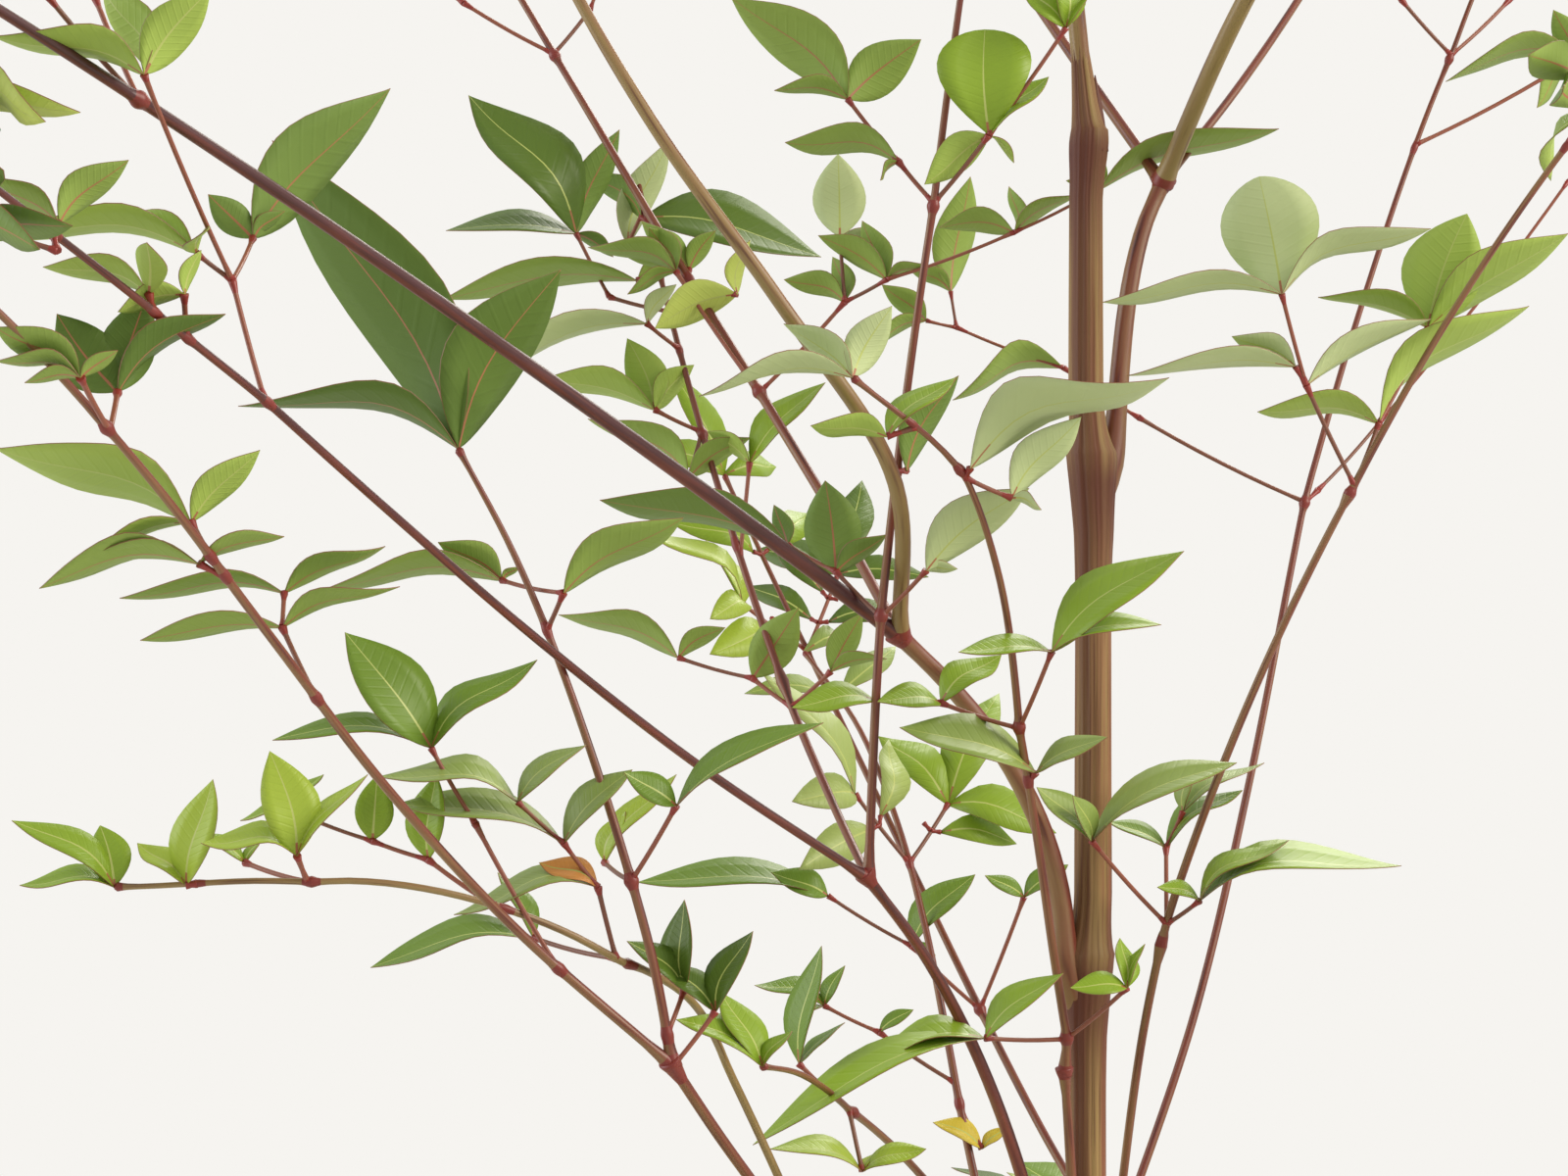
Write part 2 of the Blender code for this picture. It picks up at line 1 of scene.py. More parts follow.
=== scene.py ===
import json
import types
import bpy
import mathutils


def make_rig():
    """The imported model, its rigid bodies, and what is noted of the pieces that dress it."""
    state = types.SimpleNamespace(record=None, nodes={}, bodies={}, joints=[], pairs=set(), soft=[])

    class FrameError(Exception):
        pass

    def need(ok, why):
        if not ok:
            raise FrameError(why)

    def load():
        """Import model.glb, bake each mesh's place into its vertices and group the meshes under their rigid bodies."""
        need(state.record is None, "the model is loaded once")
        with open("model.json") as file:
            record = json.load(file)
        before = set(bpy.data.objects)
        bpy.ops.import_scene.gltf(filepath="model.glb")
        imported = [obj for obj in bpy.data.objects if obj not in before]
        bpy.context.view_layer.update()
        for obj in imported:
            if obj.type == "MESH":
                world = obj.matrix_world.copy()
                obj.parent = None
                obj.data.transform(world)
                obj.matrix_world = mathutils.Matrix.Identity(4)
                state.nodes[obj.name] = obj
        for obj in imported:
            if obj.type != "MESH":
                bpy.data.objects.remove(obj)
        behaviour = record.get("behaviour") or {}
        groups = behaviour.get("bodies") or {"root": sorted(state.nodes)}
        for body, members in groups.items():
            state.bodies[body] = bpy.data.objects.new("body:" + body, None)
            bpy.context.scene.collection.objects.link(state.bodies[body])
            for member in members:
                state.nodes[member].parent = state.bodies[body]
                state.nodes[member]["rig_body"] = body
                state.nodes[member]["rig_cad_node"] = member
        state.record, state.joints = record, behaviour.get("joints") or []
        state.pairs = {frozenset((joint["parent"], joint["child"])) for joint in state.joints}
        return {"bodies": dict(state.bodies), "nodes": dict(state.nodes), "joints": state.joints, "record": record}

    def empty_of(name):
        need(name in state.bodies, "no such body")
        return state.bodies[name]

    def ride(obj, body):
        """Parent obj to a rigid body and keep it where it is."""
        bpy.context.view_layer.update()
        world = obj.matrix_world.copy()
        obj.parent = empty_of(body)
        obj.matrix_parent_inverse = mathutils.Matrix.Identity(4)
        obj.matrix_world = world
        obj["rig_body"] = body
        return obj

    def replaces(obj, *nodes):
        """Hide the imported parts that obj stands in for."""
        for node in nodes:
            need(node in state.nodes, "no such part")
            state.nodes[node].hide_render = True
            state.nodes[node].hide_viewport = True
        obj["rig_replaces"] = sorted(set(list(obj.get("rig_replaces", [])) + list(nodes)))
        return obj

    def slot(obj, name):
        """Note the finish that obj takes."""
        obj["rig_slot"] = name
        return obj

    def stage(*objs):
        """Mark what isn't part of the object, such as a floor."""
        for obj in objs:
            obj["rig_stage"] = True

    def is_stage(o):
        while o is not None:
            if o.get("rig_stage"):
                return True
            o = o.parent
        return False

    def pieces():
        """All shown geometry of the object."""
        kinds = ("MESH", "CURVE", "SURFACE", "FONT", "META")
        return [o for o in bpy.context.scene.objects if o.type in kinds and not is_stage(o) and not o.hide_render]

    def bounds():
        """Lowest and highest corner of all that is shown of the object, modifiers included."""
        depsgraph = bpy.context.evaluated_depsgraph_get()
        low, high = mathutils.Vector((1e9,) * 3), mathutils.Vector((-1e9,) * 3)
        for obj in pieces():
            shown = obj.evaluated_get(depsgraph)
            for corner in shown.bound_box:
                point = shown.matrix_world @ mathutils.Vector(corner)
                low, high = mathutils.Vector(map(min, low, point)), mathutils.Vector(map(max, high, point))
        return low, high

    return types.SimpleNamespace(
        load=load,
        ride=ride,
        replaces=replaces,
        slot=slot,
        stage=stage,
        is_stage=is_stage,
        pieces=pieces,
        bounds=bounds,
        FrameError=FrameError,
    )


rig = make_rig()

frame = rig.load()

import json
import math
import random
from dataclasses import dataclass, field

import bmesh
import bpy
from bpy.props import FloatProperty, FloatVectorProperty, IntProperty, PointerProperty
from bpy.types import Operator, Panel, PropertyGroup
from mathutils import Matrix, Vector
from mathutils.bvhtree import BVHTree
from mathutils.kdtree import KDTree

# Heavenly bamboo: a grooved cane, forked leaf stalks with red joints, and glossy leaflets in sets of three.
# The stalks, limbs and twigs grow by the same rule as the solids. Turns and rises are degrees, sizes are metres.

bl_info = {
    "name": "Heavenly bamboo",
    "version": (1, 0, 0),
    "blender": (4, 5, 0),
    "location": "3D View > Sidebar > Heavenly bamboo",
    "description": "Grows the cane, the leaf stalks, the twigs and the leaflets of a heavenly bamboo",
    "category": "Object",
}

CAD_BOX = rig.bounds()

# Where the photograph was taken from, its size in pixels, and the size of a pixel at the cane
EYE = Vector((-0.106, -1.30, 0.825))
PICTURE = (1600, 1200)
PIXEL = 0.00034

KNUCKLE_RADIUS = 0.0039
LIMB_STEPS = 6
SCAR_HEIGHTS = (0.075, 0.125, 0.17)
SPREAD = 52.0
TWIG_LIFT = 0.30
TWIG_LENGTH = 0.052
TWIG_FADE = 0.45
SIDE_LEAFLET = 0.80
SIDE_ANGLE = 64.0
# Where round the cane the painted shade on the bark is darkest, as a share of a turn; a second band lies opposite
PAINTED_SHADE_SIDE = 0.67


@dataclass(frozen=True)
class Limb:
    """A tapering stalk, with the turn and rise at its foot, middle and tip, its length, and its joints with their twigs."""

    name: str
    turns: tuple
    rises: tuple
    length: float
    joints: tuple = ()


@dataclass(frozen=True)
class Leaf:
    """A compound leaf: its main stalk, the limbs past its knuckle, and where it springs from."""

    name: str
    stalk: Limb
    limbs: tuple
    height: float = 0.0
    parent: str = ""


def fan(name, turn, rise, height):
    """A leaf that opens evenly, with one limb straight on and one to each side."""
    stalk = Limb(name + "_stalk", (turn, turn, turn), (62, 56, 48), 0.110)
    limbs = [Limb(name + "_middle", (turn, turn, turn), (rise + 8, rise, rise - 12), 0.30, (0.42, 0.74))]
    for side, away in (("left", 1), ("right", -1)):
        turns = (turn + 62 * away, turn + 52 * away, turn + 42 * away)
        limbs.append(Limb(f"{name}_{side}", turns, (rise + 4, rise - 2, rise - 14), 0.25, (0.52,)))
    return Leaf(name, stalk, tuple(limbs), height)


CANE_HEIGHT = 0.984
LEAVES = (
    Leaf(
        "crest",
        Limb("crest_stalk", (215, 205, 190), (83, 82, 78), 0.140),
        (
            Limb("crest_up", (130, 120, 110), (74, 68, 60), 0.32, (0.42, 0.74)),
            Limb("crest_left", (206, 204, 200), (42, 46, 48), 0.33, (0.42, 0.74)),
            Limb("crest_right", (20, 12, 8), (40, 46, 48), 0.33, (0.42, 0.74)),
        ),
        height=CANE_HEIGHT,
    ),
    Leaf(
        "upper",
        Limb("upper_stalk", (39, 41, 38), (80, 80, 54), 0.105),
        (
            Limb("upper_right", (288, 316, 331), (45, 49, 58), 0.42, (0.44, 0.74)),
            Limb("upper_left", (126, 120, 116), (46, 46, 54), 0.34, (0.42, 0.74)),
            Limb("upper_back", (48, 54, 60), (38, 44, 48), 0.34, (0.42, 0.74)),
        ),
        height=0.868,
    ),
    Leaf(
        "left",
        Limb("left_stalk", (208, 204, 206), (94, 59, 39), 0.137),
        (
            Limb("left_reach", (216, 231, 233), (31, 23, 18), 0.50, (0.71, 0.87)),
            Limb("left_rise", (298, 173, 223), (50, 57, 84), 0.42, (0.72, 0.88)),
            Limb(
                "left_back",
                (105, 142, 140),
                (30, 53, 49),
                0.43,
                ((0.31, (146, 53, 0.058), (10, 45, 0.048)), (0.69, (180, 34, 0.040), (62, 38, 0.044))),
            ),
        ),
        height=0.694,
    ),
    Leaf(
        "front",
        Limb("front_stalk", (242, 242, 242), (84, 82, 80), 0.072),
        (
            Limb(
                "front_rise",
                (249, 240, 216),
                (67, 70, 24),
                0.27,
                (
                    (0.05, (199, 23, 0.034), (322, 51, 0.040)),
                    (0.46, (286, 49, 0.032), (160, 13, 0.031)),
                    (0.81, (299, 6, 0.035), (131, 30, 0.031)),
                ),
            ),
        ),
        height=0.588,
    ),
    Leaf(
        "low_left",
        Limb("low_left_stalk", (209, 210, 213), (78, 66, 45), 0.187),
        (
            Limb(
                "low_left_reach",
                (216, 235, 236),
                (27, 29, 22),
                0.50,
                ((0.61, (157, 67, 0.099), (250, -25, 0.047)), 0.80),
            ),
            Limb(
                "low_left_rise",
                (290, 330, 352),
                (86, 83, 80),
                0.40,
                (
                    (0.22, (148, 31, 0.044), (334, 39, 0.059)),
                    (0.56, (160, 52, 0.046), (341, 50, 0.073)),
                    (0.80, (170, 45, 0.042), (350, 40, 0.045)),
                ),
            ),
            Limb(
                "low_left_back",
                (102, 121, 106),
                (26, 58, 52),
                0.33,
                ((0.33, (151, 15, 0.042), (338, 7, 0.026)), 0.64),
            ),
        ),
        height=0.562,
    ),
    Leaf(
        "right",
        Limb("right_stalk", (66, 66, 66), (77, 80, 83), 0.080),
        (
            Limb(
                "right_front",
                (290, 345, 338),
                (75, 64, 44),
                0.52,
                (
                    (0.22, (215, 43, 0.048), (313, 38, 0.020), (87, 54, 0.034)),
                    (0.54, (215, 63, 0.076), (36, 60, 0.068)),
                    0.80,
                ),
            ),
            Limb(
                "right_back",
                (40, 50, 14),
                (56, 69, 65),
                0.54,
                ((0.53, (176, 27, 0.150), (52, 33, 0.061)), (0.87, (180, 58, 0.041), (34, 46, 0.052))),
            ),
            Limb(
                "right_behind",
                (121, 128, 160),
                (38, 52, 64),
                0.36,
                ((0.32, (170, 34, 0.070), (331, 60, 0.042)), 0.78),
            ),
        ),
        height=0.512,
    ),
    Leaf(
        "rear",
        Limb("rear_stalk", (122, 122, 122), (64, 62, 58), 0.090),
        (
            Limb(
                "rear_rise",
                (122, 117, 128),
                (64, 64, 30),
                0.27,
                ((0.25, (168, 32, 0.058), (340, 67, 0.075)), 0.60),
            ),
            Limb("rear_arch", (243, 236, 243), (41, 31, 4), 0.205, ((0.62, (132, 57, 0.025), (310, 10, 0.025)),)),
            Limb("rear_low", (62, 66, 72), (-6, -4, -8), 0.28, (0.42, 0.74)),
        ),
        height=0.496,
    ),
    Leaf(
        "forked",
        Limb("forked_stalk", (218, 218, 218), (60, 54, 46), 0.104),
        (Limb("forked_side", (280, 284, 290), (18, 12, 4), 0.28, (0.46, 0.76)),),
        height=0.443,
    ),
    Leaf(
        "arching",
        Limb("arching_stalk", (196, 196, 196), (68, 64, 58), 0.100),
        (
            Limb(
                "arching_limb",
                (234, 221, 164),
                (55, 44, -23),
                0.424,
                ((0.61, (210, 70, 0.044), (120, 10, 0.035)), (0.86, (279, 39, 0.014), (130, 5, 0.025))),
            ),
        ),
        height=0.415,
    ),
    Leaf(
        "fork",
        Limb("fork", (231, 226, 229), (62, 48, 50), 0.192),
        (
            Limb(
                "fork_left",
                (194, 238, 206),
                (39, 41, 34),
                0.42,
                ((0.43, (115, 35, 0.041), (241, 4, 0.034)), (0.71, (91, 27, 0.024), (260, 27, 0.024))),
            ),
            Limb(
                "fork_right",
                (232, 161, 187),
                (79, 70, 60),
                0.206,
                ((0.29, (311, 41, 0.026), (112, 12, 0.033)), (0.69, (128, 21, 0.027), (302, -3, 0.024))),
            ),
        ),
        parent="forked_stalk",
    ),
    fan("east", 338, 34, 0.395),
    fan("north", 86, 22, 0.350),
    fan("west", 168, 26, 0.305),
    fan("south", 276, 22, 0.262),
    fan("low_east", 30, 26, 0.222),
)

# How red the picture shows a stalk's skin: 1 is maroon all round, and -1 is olive all round. Past about 1 it also
# paints shade, darkening the skin further
BLUSH_AND_SHADE = {
    "left_stalk": 0.4,
    "left_reach": 1.6,
    "left_rise": 0.1,
    "left_back": 0.5,
    "low_left_stalk": 1.1,
    "low_left_reach": 1.3,
    "low_left_rise": 0.6,
    "low_left_back": 0.6,
    "fork": 0.7,
    "fork_left": 0.5,
    "fork_right": 0.6,
    "arching_limb": -0.5,
    "right_stalk": 0.9,
    "right_front": 0.6,
    "right_back": 0.5,
    "upper_stalk": 0.2,
    "front_stalk": 0.6,
    "front_rise": 0.8,
    "upper_left": 0.6,
    "upper_right": -0.2,
    "crest_stalk": -0.2,
}
COMMON_BLUSH_AND_SHADE = 0.5

# How thick the picture shows a stalk, as a share of the thickest
GIRTH = {
    "crest_stalk": 1.0,
    "upper_stalk": 1.12,
    "left_stalk": 1.15,
    "low_left_stalk": 0.72,
    "front_stalk": 0.62,
    "right_stalk": 0.66,
    "rear_stalk": 0.60,
    "forked_stalk": 0.66,
    "arching_stalk": 0.62,
    "fork": 0.78,
    "upper_right": 1.45,
    "upper_left": 0.92,
    "left_reach": 1.2,
    "left_rise": 1.22,
    "left_back": 0.85,
    "arching_limb": 0.70,
}
LIMB_GIRTH = 0.70

# Windows of the picture that show no leaf: first and last column, first and last row
SKY = (
    (1215, 1600, 900, 1300),
    (1128, 1600, 1070, 1400),
    (-200, 640, 1000, 1400),
    (1440, 1600, 500, 900),
    (0, 300, 660, 760),
    (560, 760, 0, 120),
    (1150, 1430, -60, 110),
    (380, 600, -60, 80),
)

# Where the picture shows a limb: shares of its length with the column and row that it passes through
PASSES = {
    "left_back": ((0.31, 775, 400), (0.69, 565, 55)),
    "front_rise": ((0.05, 1089, 1060), (0.46, 1040, 743), (0.81, 985, 487), (1.0, 870, 385)),
    "low_left_reach": ((0.61, 270, 408), (0.80, 54, 238)),
    "low_left_rise": ((0.22, 899, 629), (0.56, 953, 207)),
    "low_left_back": ((0.33, 808, 722), (0.64, 716, 440)),
    "right_front": ((0.22, 1190, 942), (0.54, 1382, 495)),
    "right_back": ((0.53, 1331, 512), (0.87, 1481, 56)),
    "rear_rise": ((0.25, 975, 1105), (0.60, 928, 881)),
    "rear_arch": ((0.62, 866, 1132), (1.0, 778, 1088)),
    "arching_limb": ((0.30, 740, 1085), (0.61, 630, 980), (0.86, 314, 901), (1.0, 117, 905)),
    "fork_left": ((0.43, 322, 711), (0.71, 112, 440)),
}


@dataclass(frozen=True)
class Shown:
    """A leaflet in the picture: its tip's column and row, the mm from its foot to its tip in depth, the share of it
    that turns its upper side to the viewer (below 0 its underside), and its width there as a share of its length."""

    column: float
    row: float
    depth: float
    face: float
    wide: float


@dataclass(frozen=True)
class Spray:
    """A twig in the picture: the share along its stem where it starts, the column, row and mm of depth past the
    joint where it ends, and the leaflets and twigs that it ends in. With no end, those spring from the stem."""

    share: float
    end: tuple
    parts: tuple
    tint: str = ""


def seen(*leaflets):
    """Leaflets from rows of five numbers."""
    return tuple(Shown(*leaflet) for leaflet in leaflets)


# A spray's tint names its pair of greens: deep and dark tints paint shade on sprays that sit in shade, and pale tints
# partly paint the glow of light through the blades
SPRAYS = {
    "low_left_reach": (
        Spray(0.61, (237, 286, 7), (
            Spray(1, (147, 76, -39), seen((215, -12, 0, -0.9, 0.5), (-8, 36, -10, -0.3, 0.26), (105, -15, 15, -0.4, 0.35))),
            Spray(1, (200, 258, 2), seen((0, 243, -15, -0.1, 0.16), (132, 220, 10, -0.3, 0.36), (212, 232, -18, -0.4, 0.5))),
            Spray(1, (258, 243, 41), seen((398, 90, 20, -0.7, 0.38), (212, 198, -5, -0.8, 0.6), (290, 215, 5, -0.3, 0.4)), "deep"),
        ), "fresh"),
        Spray(0.683, (188, 300, -4), seen((205, 255, 0, -0.4, 0.35), (120, 318, -8, -0.4, 0.4)), "fresh"),
        Spray(0.713, (152, 300, 3), seen((44, 272, 0, -0.3, 0.28), (150, 247, -25, -0.9, 0.68)), "fresh"),
        Spray(0.80, (60, 228, 4), seen((131, 163, 5, -0.6, 0.42), (-20, 180, 5, -0.3, 0.3)), "mid"),
        Spray(0.80, (58, 256, -4), (Spray(1, (-30, 222, -10), seen((-60, 150, 10, -0.4, 0.4), (-130, 215, 0, -0.2, 0.3))),)),
    ),
    "left_reach": (
        Spray(0.71, (96, -5, 10), (
            Spray(1, (60, -90, 20), seen((40, -170, 0, -0.5, 0.4), (-30, -110, 5, -0.3, 0.3), (110, -150, 5, -0.4, 0.4))),
        ), "fresh"),
        Spray(0.71, (48, -5, -10), (
            Spray(1, (-30, -60, -20), seen((-110, -100, 0, -0.4, 0.3), (-50, -150, 5, -0.4, 0.4))),
        ), "mid"),
    ),
    "left_back": (
        Spray(0.31, (862, 308, 6), (
            Spray(1, None, seen((800, 285, 5, -0.3, 0.4), (850, 262, 10, -0.5, 0.5))),
            Spray(1, (905, 285, 0), (
                Spray(1, None, seen((835, 240, 0, -0.4, 0.35), (880, 225, 5, -0.5, 0.45), (950, 270, -5, -0.2, 0.3))),
                Spray(1, (1035, 237, -15), (
                    Spray(1, None, seen((1100, 198, -5, -0.2, 0.28), (958, 232, 5, -0.4, 0.4), (1030, 190, 5, -0.5, 0.3))),
                    Spray(1, (1122, 193, -25), seen((1305, 131, -15, -0.3, 0.16), (1088, 184, 5, -0.3, 0.35), (1128, 168, 0, -0.5, 0.5))),
                )),
            )),
            Spray(1, (857, 242, 8), seen((855, 157, 0, -0.7, 0.72), (905, 250, 5, -0.3, 0.4)), "pale"),
        ), "mid"),
        Spray(0.31, (690, 277, 20), seen((600, 252, 0, -0.3, 0.3), (640, 300, 0, -0.3, 0.3), (655, 225, 5, -0.5, 0.4)), "mid"),
        Spray(0.44, (703, 275, 5), seen((662, 232, -10, -0.8, 0.7), (730, 235, 0, -0.6, 0.5), (640, 262, 0, -0.2, 0.4)), "mid"),
        Spray(0.42, (752, 300, -8), seen((668, 335, -5, -0.6, 0.5), (765, 245, 0, -0.4, 0.4)), "lime"),
        Spray(0.69, (473, 3, 0), (Spray(1, (430, -30, 5), seen((350, -60, 0, -0.3, 0.3), (400, -120, 0, -0.5, 0.4))),)),
        Spray(0.69, (602, 10, 15), (Spray(1, (625, -60, 30), seen((690, -110, 0, -0.4, 0.4), (620, -150, 0, -0.4, 0.4))),)),
    ),
    "low_left_back": (
        Spray(0.33, (768, 692, 10), (
            Spray(1, None, seen((815, 620, 0, -0.5, 0.6))),
            Spray(1, (692, 671, 20), seen((570, 627, 0, -0.3, 0.25), (740, 640, 0, -0.3, 0.4))),
        ), "mid"),
        Spray(0.33, (848, 685, -5), seen((880, 625, 0, -0.5, 0.5), (905, 672, -5, -0.2, 0.3)), "mid"),
        Spray(0.50, (765, 472, 8), seen((842, 390, 0, 0.5, 0.3), (722, 440, 5, -0.2, 0.35)), "fresh"),
        Spray(0.64, (703, 487, -8), seen((600, 427, 0, -0.3, 0.3), (766, 446, 0, -0.3, 0.4)), "mid"),
        Spray(0.64, (668, 418, 5), seen((550, 388, 0, -0.2, 0.25), (640, 345, 5, -0.6, 0.6), (708, 372, 8, -0.5, 0.5)), "fresh"),
        Spray(0.75, (660, 330, -10), seen((475, 388, -10, -0.2, 0.15), (690, 290, 5, -0.4, 0.4)), "pale"),
        Spray(0.80, (622, 303, 8), (
            Spray(1, (588, 238, 12), seen((478, 97, 0, 0.8, 0.4), (455, 235, -10, 0.1, 0.2), (632, 132, 5, -0.8, 0.33), (626, 262, 5, -0.3, 0.4)), "deep"),
        ), "mid"),
        Spray(0.85, (650, 286, -5), seen((452, 305, -5, -0.1, 0.16), (700, 262, 5, -0.3, 0.4)), "mid"),
        Spray(0.93, (655, 222, 3), seen((838, 262, -5, 0.6, 0.33), (600, 180, 8, -0.4, 0.4)), "deep"),
        Spray(0.95, (640, 250, 3), seen((682, 143, 0, -0.8, 0.35)), "pale"),
    ),
    "front_rise": (
        Spray(0.05, (1005, 1059, -10), seen((768, 1168, -25, 0.5, 0.14), (875, 1085, 5, 0.3, 0.2), (1085, 993, -5, 0.3, 0.33)), "fresh"),
        Spray(0.05, (1150, 1008, -15), seen((1143, 957, 10, 0.5, 0.5), (1092, 1008, -5, 0.3, 0.45), (1168, 963, 5, 0.4, 0.3)), "fresh"),
        Spray(0.39, (1057, 788, -2), seen((918, 742, -10, 0.4, 0.3), (1130, 752, -10, 0.2, 0.3)), "soft"),
        Spray(0.46, (1073, 665, -20), seen((1208, 562, -5, 0.5, 0.33), (1185, 637, -10, 0.1, 0.2), (978, 665, -5, 0.1, 0.22)), "fresh"),
        Spray(0.46, (960, 717, 10), (
            Spray(1, None, seen((1022, 668, 10, 0.6, 0.45), (895, 716, -15, 0.5, 0.45))),
            Spray(1, (893, 714, 5), seen((808, 722, -10, 0.3, 0.35))),
        ), "fresh"),
        Spray(0.81, (990, 478, -3), seen((1193, 385, -25, -0.5, 0.3)), "pale"),
        Spray(0.81, (1032, 508, 5), seen((1103, 425, 0, -0.4, 0.4), (1063, 520, -5, -0.3, 0.45)), "pale"),
        Spray(0.90, (905, 445, 0), seen((827, 434, -10, -0.5, 0.38), (975, 385, 10, 0.4, 0.3)), "fresh"),
        Spray(1.0, None, seen((910, 312, 0, -0.8, 0.55), (713, 404, -5, -0.2, 0.17), (800, 330, 8, -0.5, 0.4)), "pale"),
    ),
    "low_left_rise": (
        Spray(0.22, (853, 583, 10), (
            Spray(1, None, seen((842, 490, 0, -0.5, 0.7), (905, 545, 0, -0.3, 0.4))),
            Spray(1, (804, 556, 20), seen((612, 510, -15, -0.4, 0.2), (790, 515, 5, -0.5, 0.5))),
        ), "deep"),
        Spray(0.22, (945, 582, -10), (
            Spray(1, None, seen((1050, 498, -10, -0.6, 0.42), (977, 580, 5, -0.3, 0.4))),
        ), "pale"),
        Spray(0.34, (925, 480, -5), seen((978, 383, 0, -0.7, 0.35)), "deep"),
        Spray(0.56, (917, 165, 5), (
            Spray(1, None, seen((801, 145, 0, -0.2, 0.28), (898, 184, -5, -0.2, 0.3))),
            Spray(1, (865, 101, 10), seen((746, -3, -5, -0.6, 0.42), (940, 40, 5, -0.6, 0.6), (790, 92, -5, -0.2, 0.3))),
        ), "mid"),
        Spray(0.56, (1009, 138, -8), (
            Spray(1, None, seen((1005, 30, 0, 0.9, 1.0), (943, 188, 5, -0.6, 0.5), (1070, 78, 5, 0.4, 0.35), (1035, 166, 5, -0.2, 0.2))),
            Spray(1, (1088, 28, -15), seen((1042, -12, 0, 0.6, 0.5), (1112, -12, 0, 0.4, 0.4), (1085, -40, 0, 0.6, 0.5))),
        ), "fresh"),
    ),
    "right_front": (
        Spray(0.22, (1114, 858, -20), seen((1262, 778, -5, 0.2, 0.18), (1058, 803, -5, 0.2, 0.35), (1095, 812, -10, 0.3, 0.45)), "soft"),
        Spray(0.22, (1224, 919, -11), seen((1430, 883, -15, 0.3, 0.17), (1315, 857, -5, 0.2, 0.2), (1181, 905, -5, 0.3, 0.35)), "fresh"),
        Spray(0.22, (1190, 865, 20), (
            Spray(1, None, seen((1130, 838, 0, 0.1, 0.25), (1268, 806, 5, 0.1, 0.2))),
            Spray(1, (1207, 828, 22), seen((1290, 778, 5, 0.1, 0.2), (1215, 782, 0, 0.2, 0.35)), "soft"),
        ), "mid"),
        Spray(0.54, (1333, 393, -10), (
            Spray(1, None, seen((1460, 325, 5, -0.2, 0.2))),
            Spray(1, (1308, 300, -20), seen((1285, 180, 0, -0.9, 0.92), (1125, 308, -5, -0.1, 0.13), (1460, 233, -5, -0.1, 0.15))),
            Spray(1, (1322, 374, -12), seen((1257, 343, 0, -0.3, 0.35), (1150, 383, -5, -0.15, 0.15))),
        ), "pale"),
        Spray(0.54, (1407, 432, 8), (
            Spray(1, None, seen((1283, 420, -5, -0.3, 0.22), (1560, 312, 5, -0.2, 0.2))),
            Spray(1, (1457, 334, 20), seen((1497, 218, 0, -0.9, 0.75), (1345, 303, -5, -0.2, 0.22), (1600, 238, -5, -0.4, 0.3))),
        ), "fresh"),
    ),
    "right_back": (
        Spray(0.53, (1162, 426, 5), (
            Spray(1, (1085, 375, 8), (
                Spray(1, None, seen((972, 408, -5, -0.3, 0.3))),
                Spray(1, (976, 334, 10), (
                    Spray(1, (970, 297, 10), seen((990, 180, 0, -0.8, 0.38), (925, 270, 0, -0.4, 0.4))),
                    Spray(1, (945, 327, 10), seen((900, 290, 0, -0.5, 0.5), (893, 352, -5, -0.2, 0.3))),
                )),
            )),
        ), "mid"),
        Spray(0.53, (1345, 500, 5), (
            Spray(1, (1410, 428, 25), (
                Spray(1, (1600, 185, 35), (Spray(1, (1680, 100, 40), seen((1700, 20, 0, -0.5, 0.4), (1790, 80, 0, -0.2, 0.3))),)),
            )),
        ), "mid"),
        Spray(0.87, (1430, 0, 0), (Spray(1, (1390, -60, -5), seen((1330, -110, 0, -0.4, 0.3), (1400, -140, 0, -0.5, 0.4))),)),
        Spray(0.87, (1540, 0, 20), (Spray(1, (1600, -50, 25), seen((1575, -120, 0, -0.5, 0.4), (1700, -90, 0, -0.3, 0.3))),)),
        Spray(0.80, (1610, 58, 10), seen((1475, 83, 0, -0.4, 0.22), (1568, 110, 0, -0.4, 0.35), (1585, 10, 5, -0.7, 0.6)), "mid"),
    ),
    "right_behind": (
        Spray(0.32, (930, 965, 5), (
            Spray(1, None, seen((995, 892, 5, 0.3, 0.35), (955, 975, 0, 0.5, 0.5))),
            Spray(1, (845, 914, 10), seen((650, 900, 0, 0.1, 0.14), (787, 890, -5, 0.3, 0.5))),
        ), "mid"),
        Spray(0.32, (1045, 915, -10), seen((1005, 893, 0, 0.1, 0.4), (1090, 882, 0, 0.1, 0.4)), "mid"),
    ),
    "rear_rise": (
        Spray(0.25, (897, 1053, 5), (
            Spray(1, None, seen((932, 1030, 0, 0.2, 0.35))),
            Spray(1, (841, 1026, 10), seen((770, 1005, 0, 0.2, 0.3), (862, 985, 5, 0.4, 0.4), (800, 1048, -5, 0.2, 0.25))),
        ), "mid"),
        Spray(0.22, (1002, 1172, -5), seen((952, 1145, 0, 0.3, 0.4), (1028, 1150, 0, 0.3, 0.4)), "yellow"),
    ),
    "rear_arch": (
        Spray(0.62, (815, 1085, 5), seen((838, 965, 0, 0.6, 0.26), (862, 1043, 0, 0.2, 0.2)), "mid"),
        Spray(0.62, (880, 1195, -8), seen((785, 1172, -10, 0.2, 0.25), (945, 1172, -5, 0.3, 0.3), (890, 1178, 5, 0.3, 0.5)), "lime"),
        Spray(1.0, None, seen((690, 1040, 0, 0.3, 0.3), (808, 1052, 0, 0.4, 0.35), (735, 1012, 8, 0.4, 0.4)), "fresh"),
    ),
    "arching_limb": (
        Spray(0.61, (610, 905, -4), (
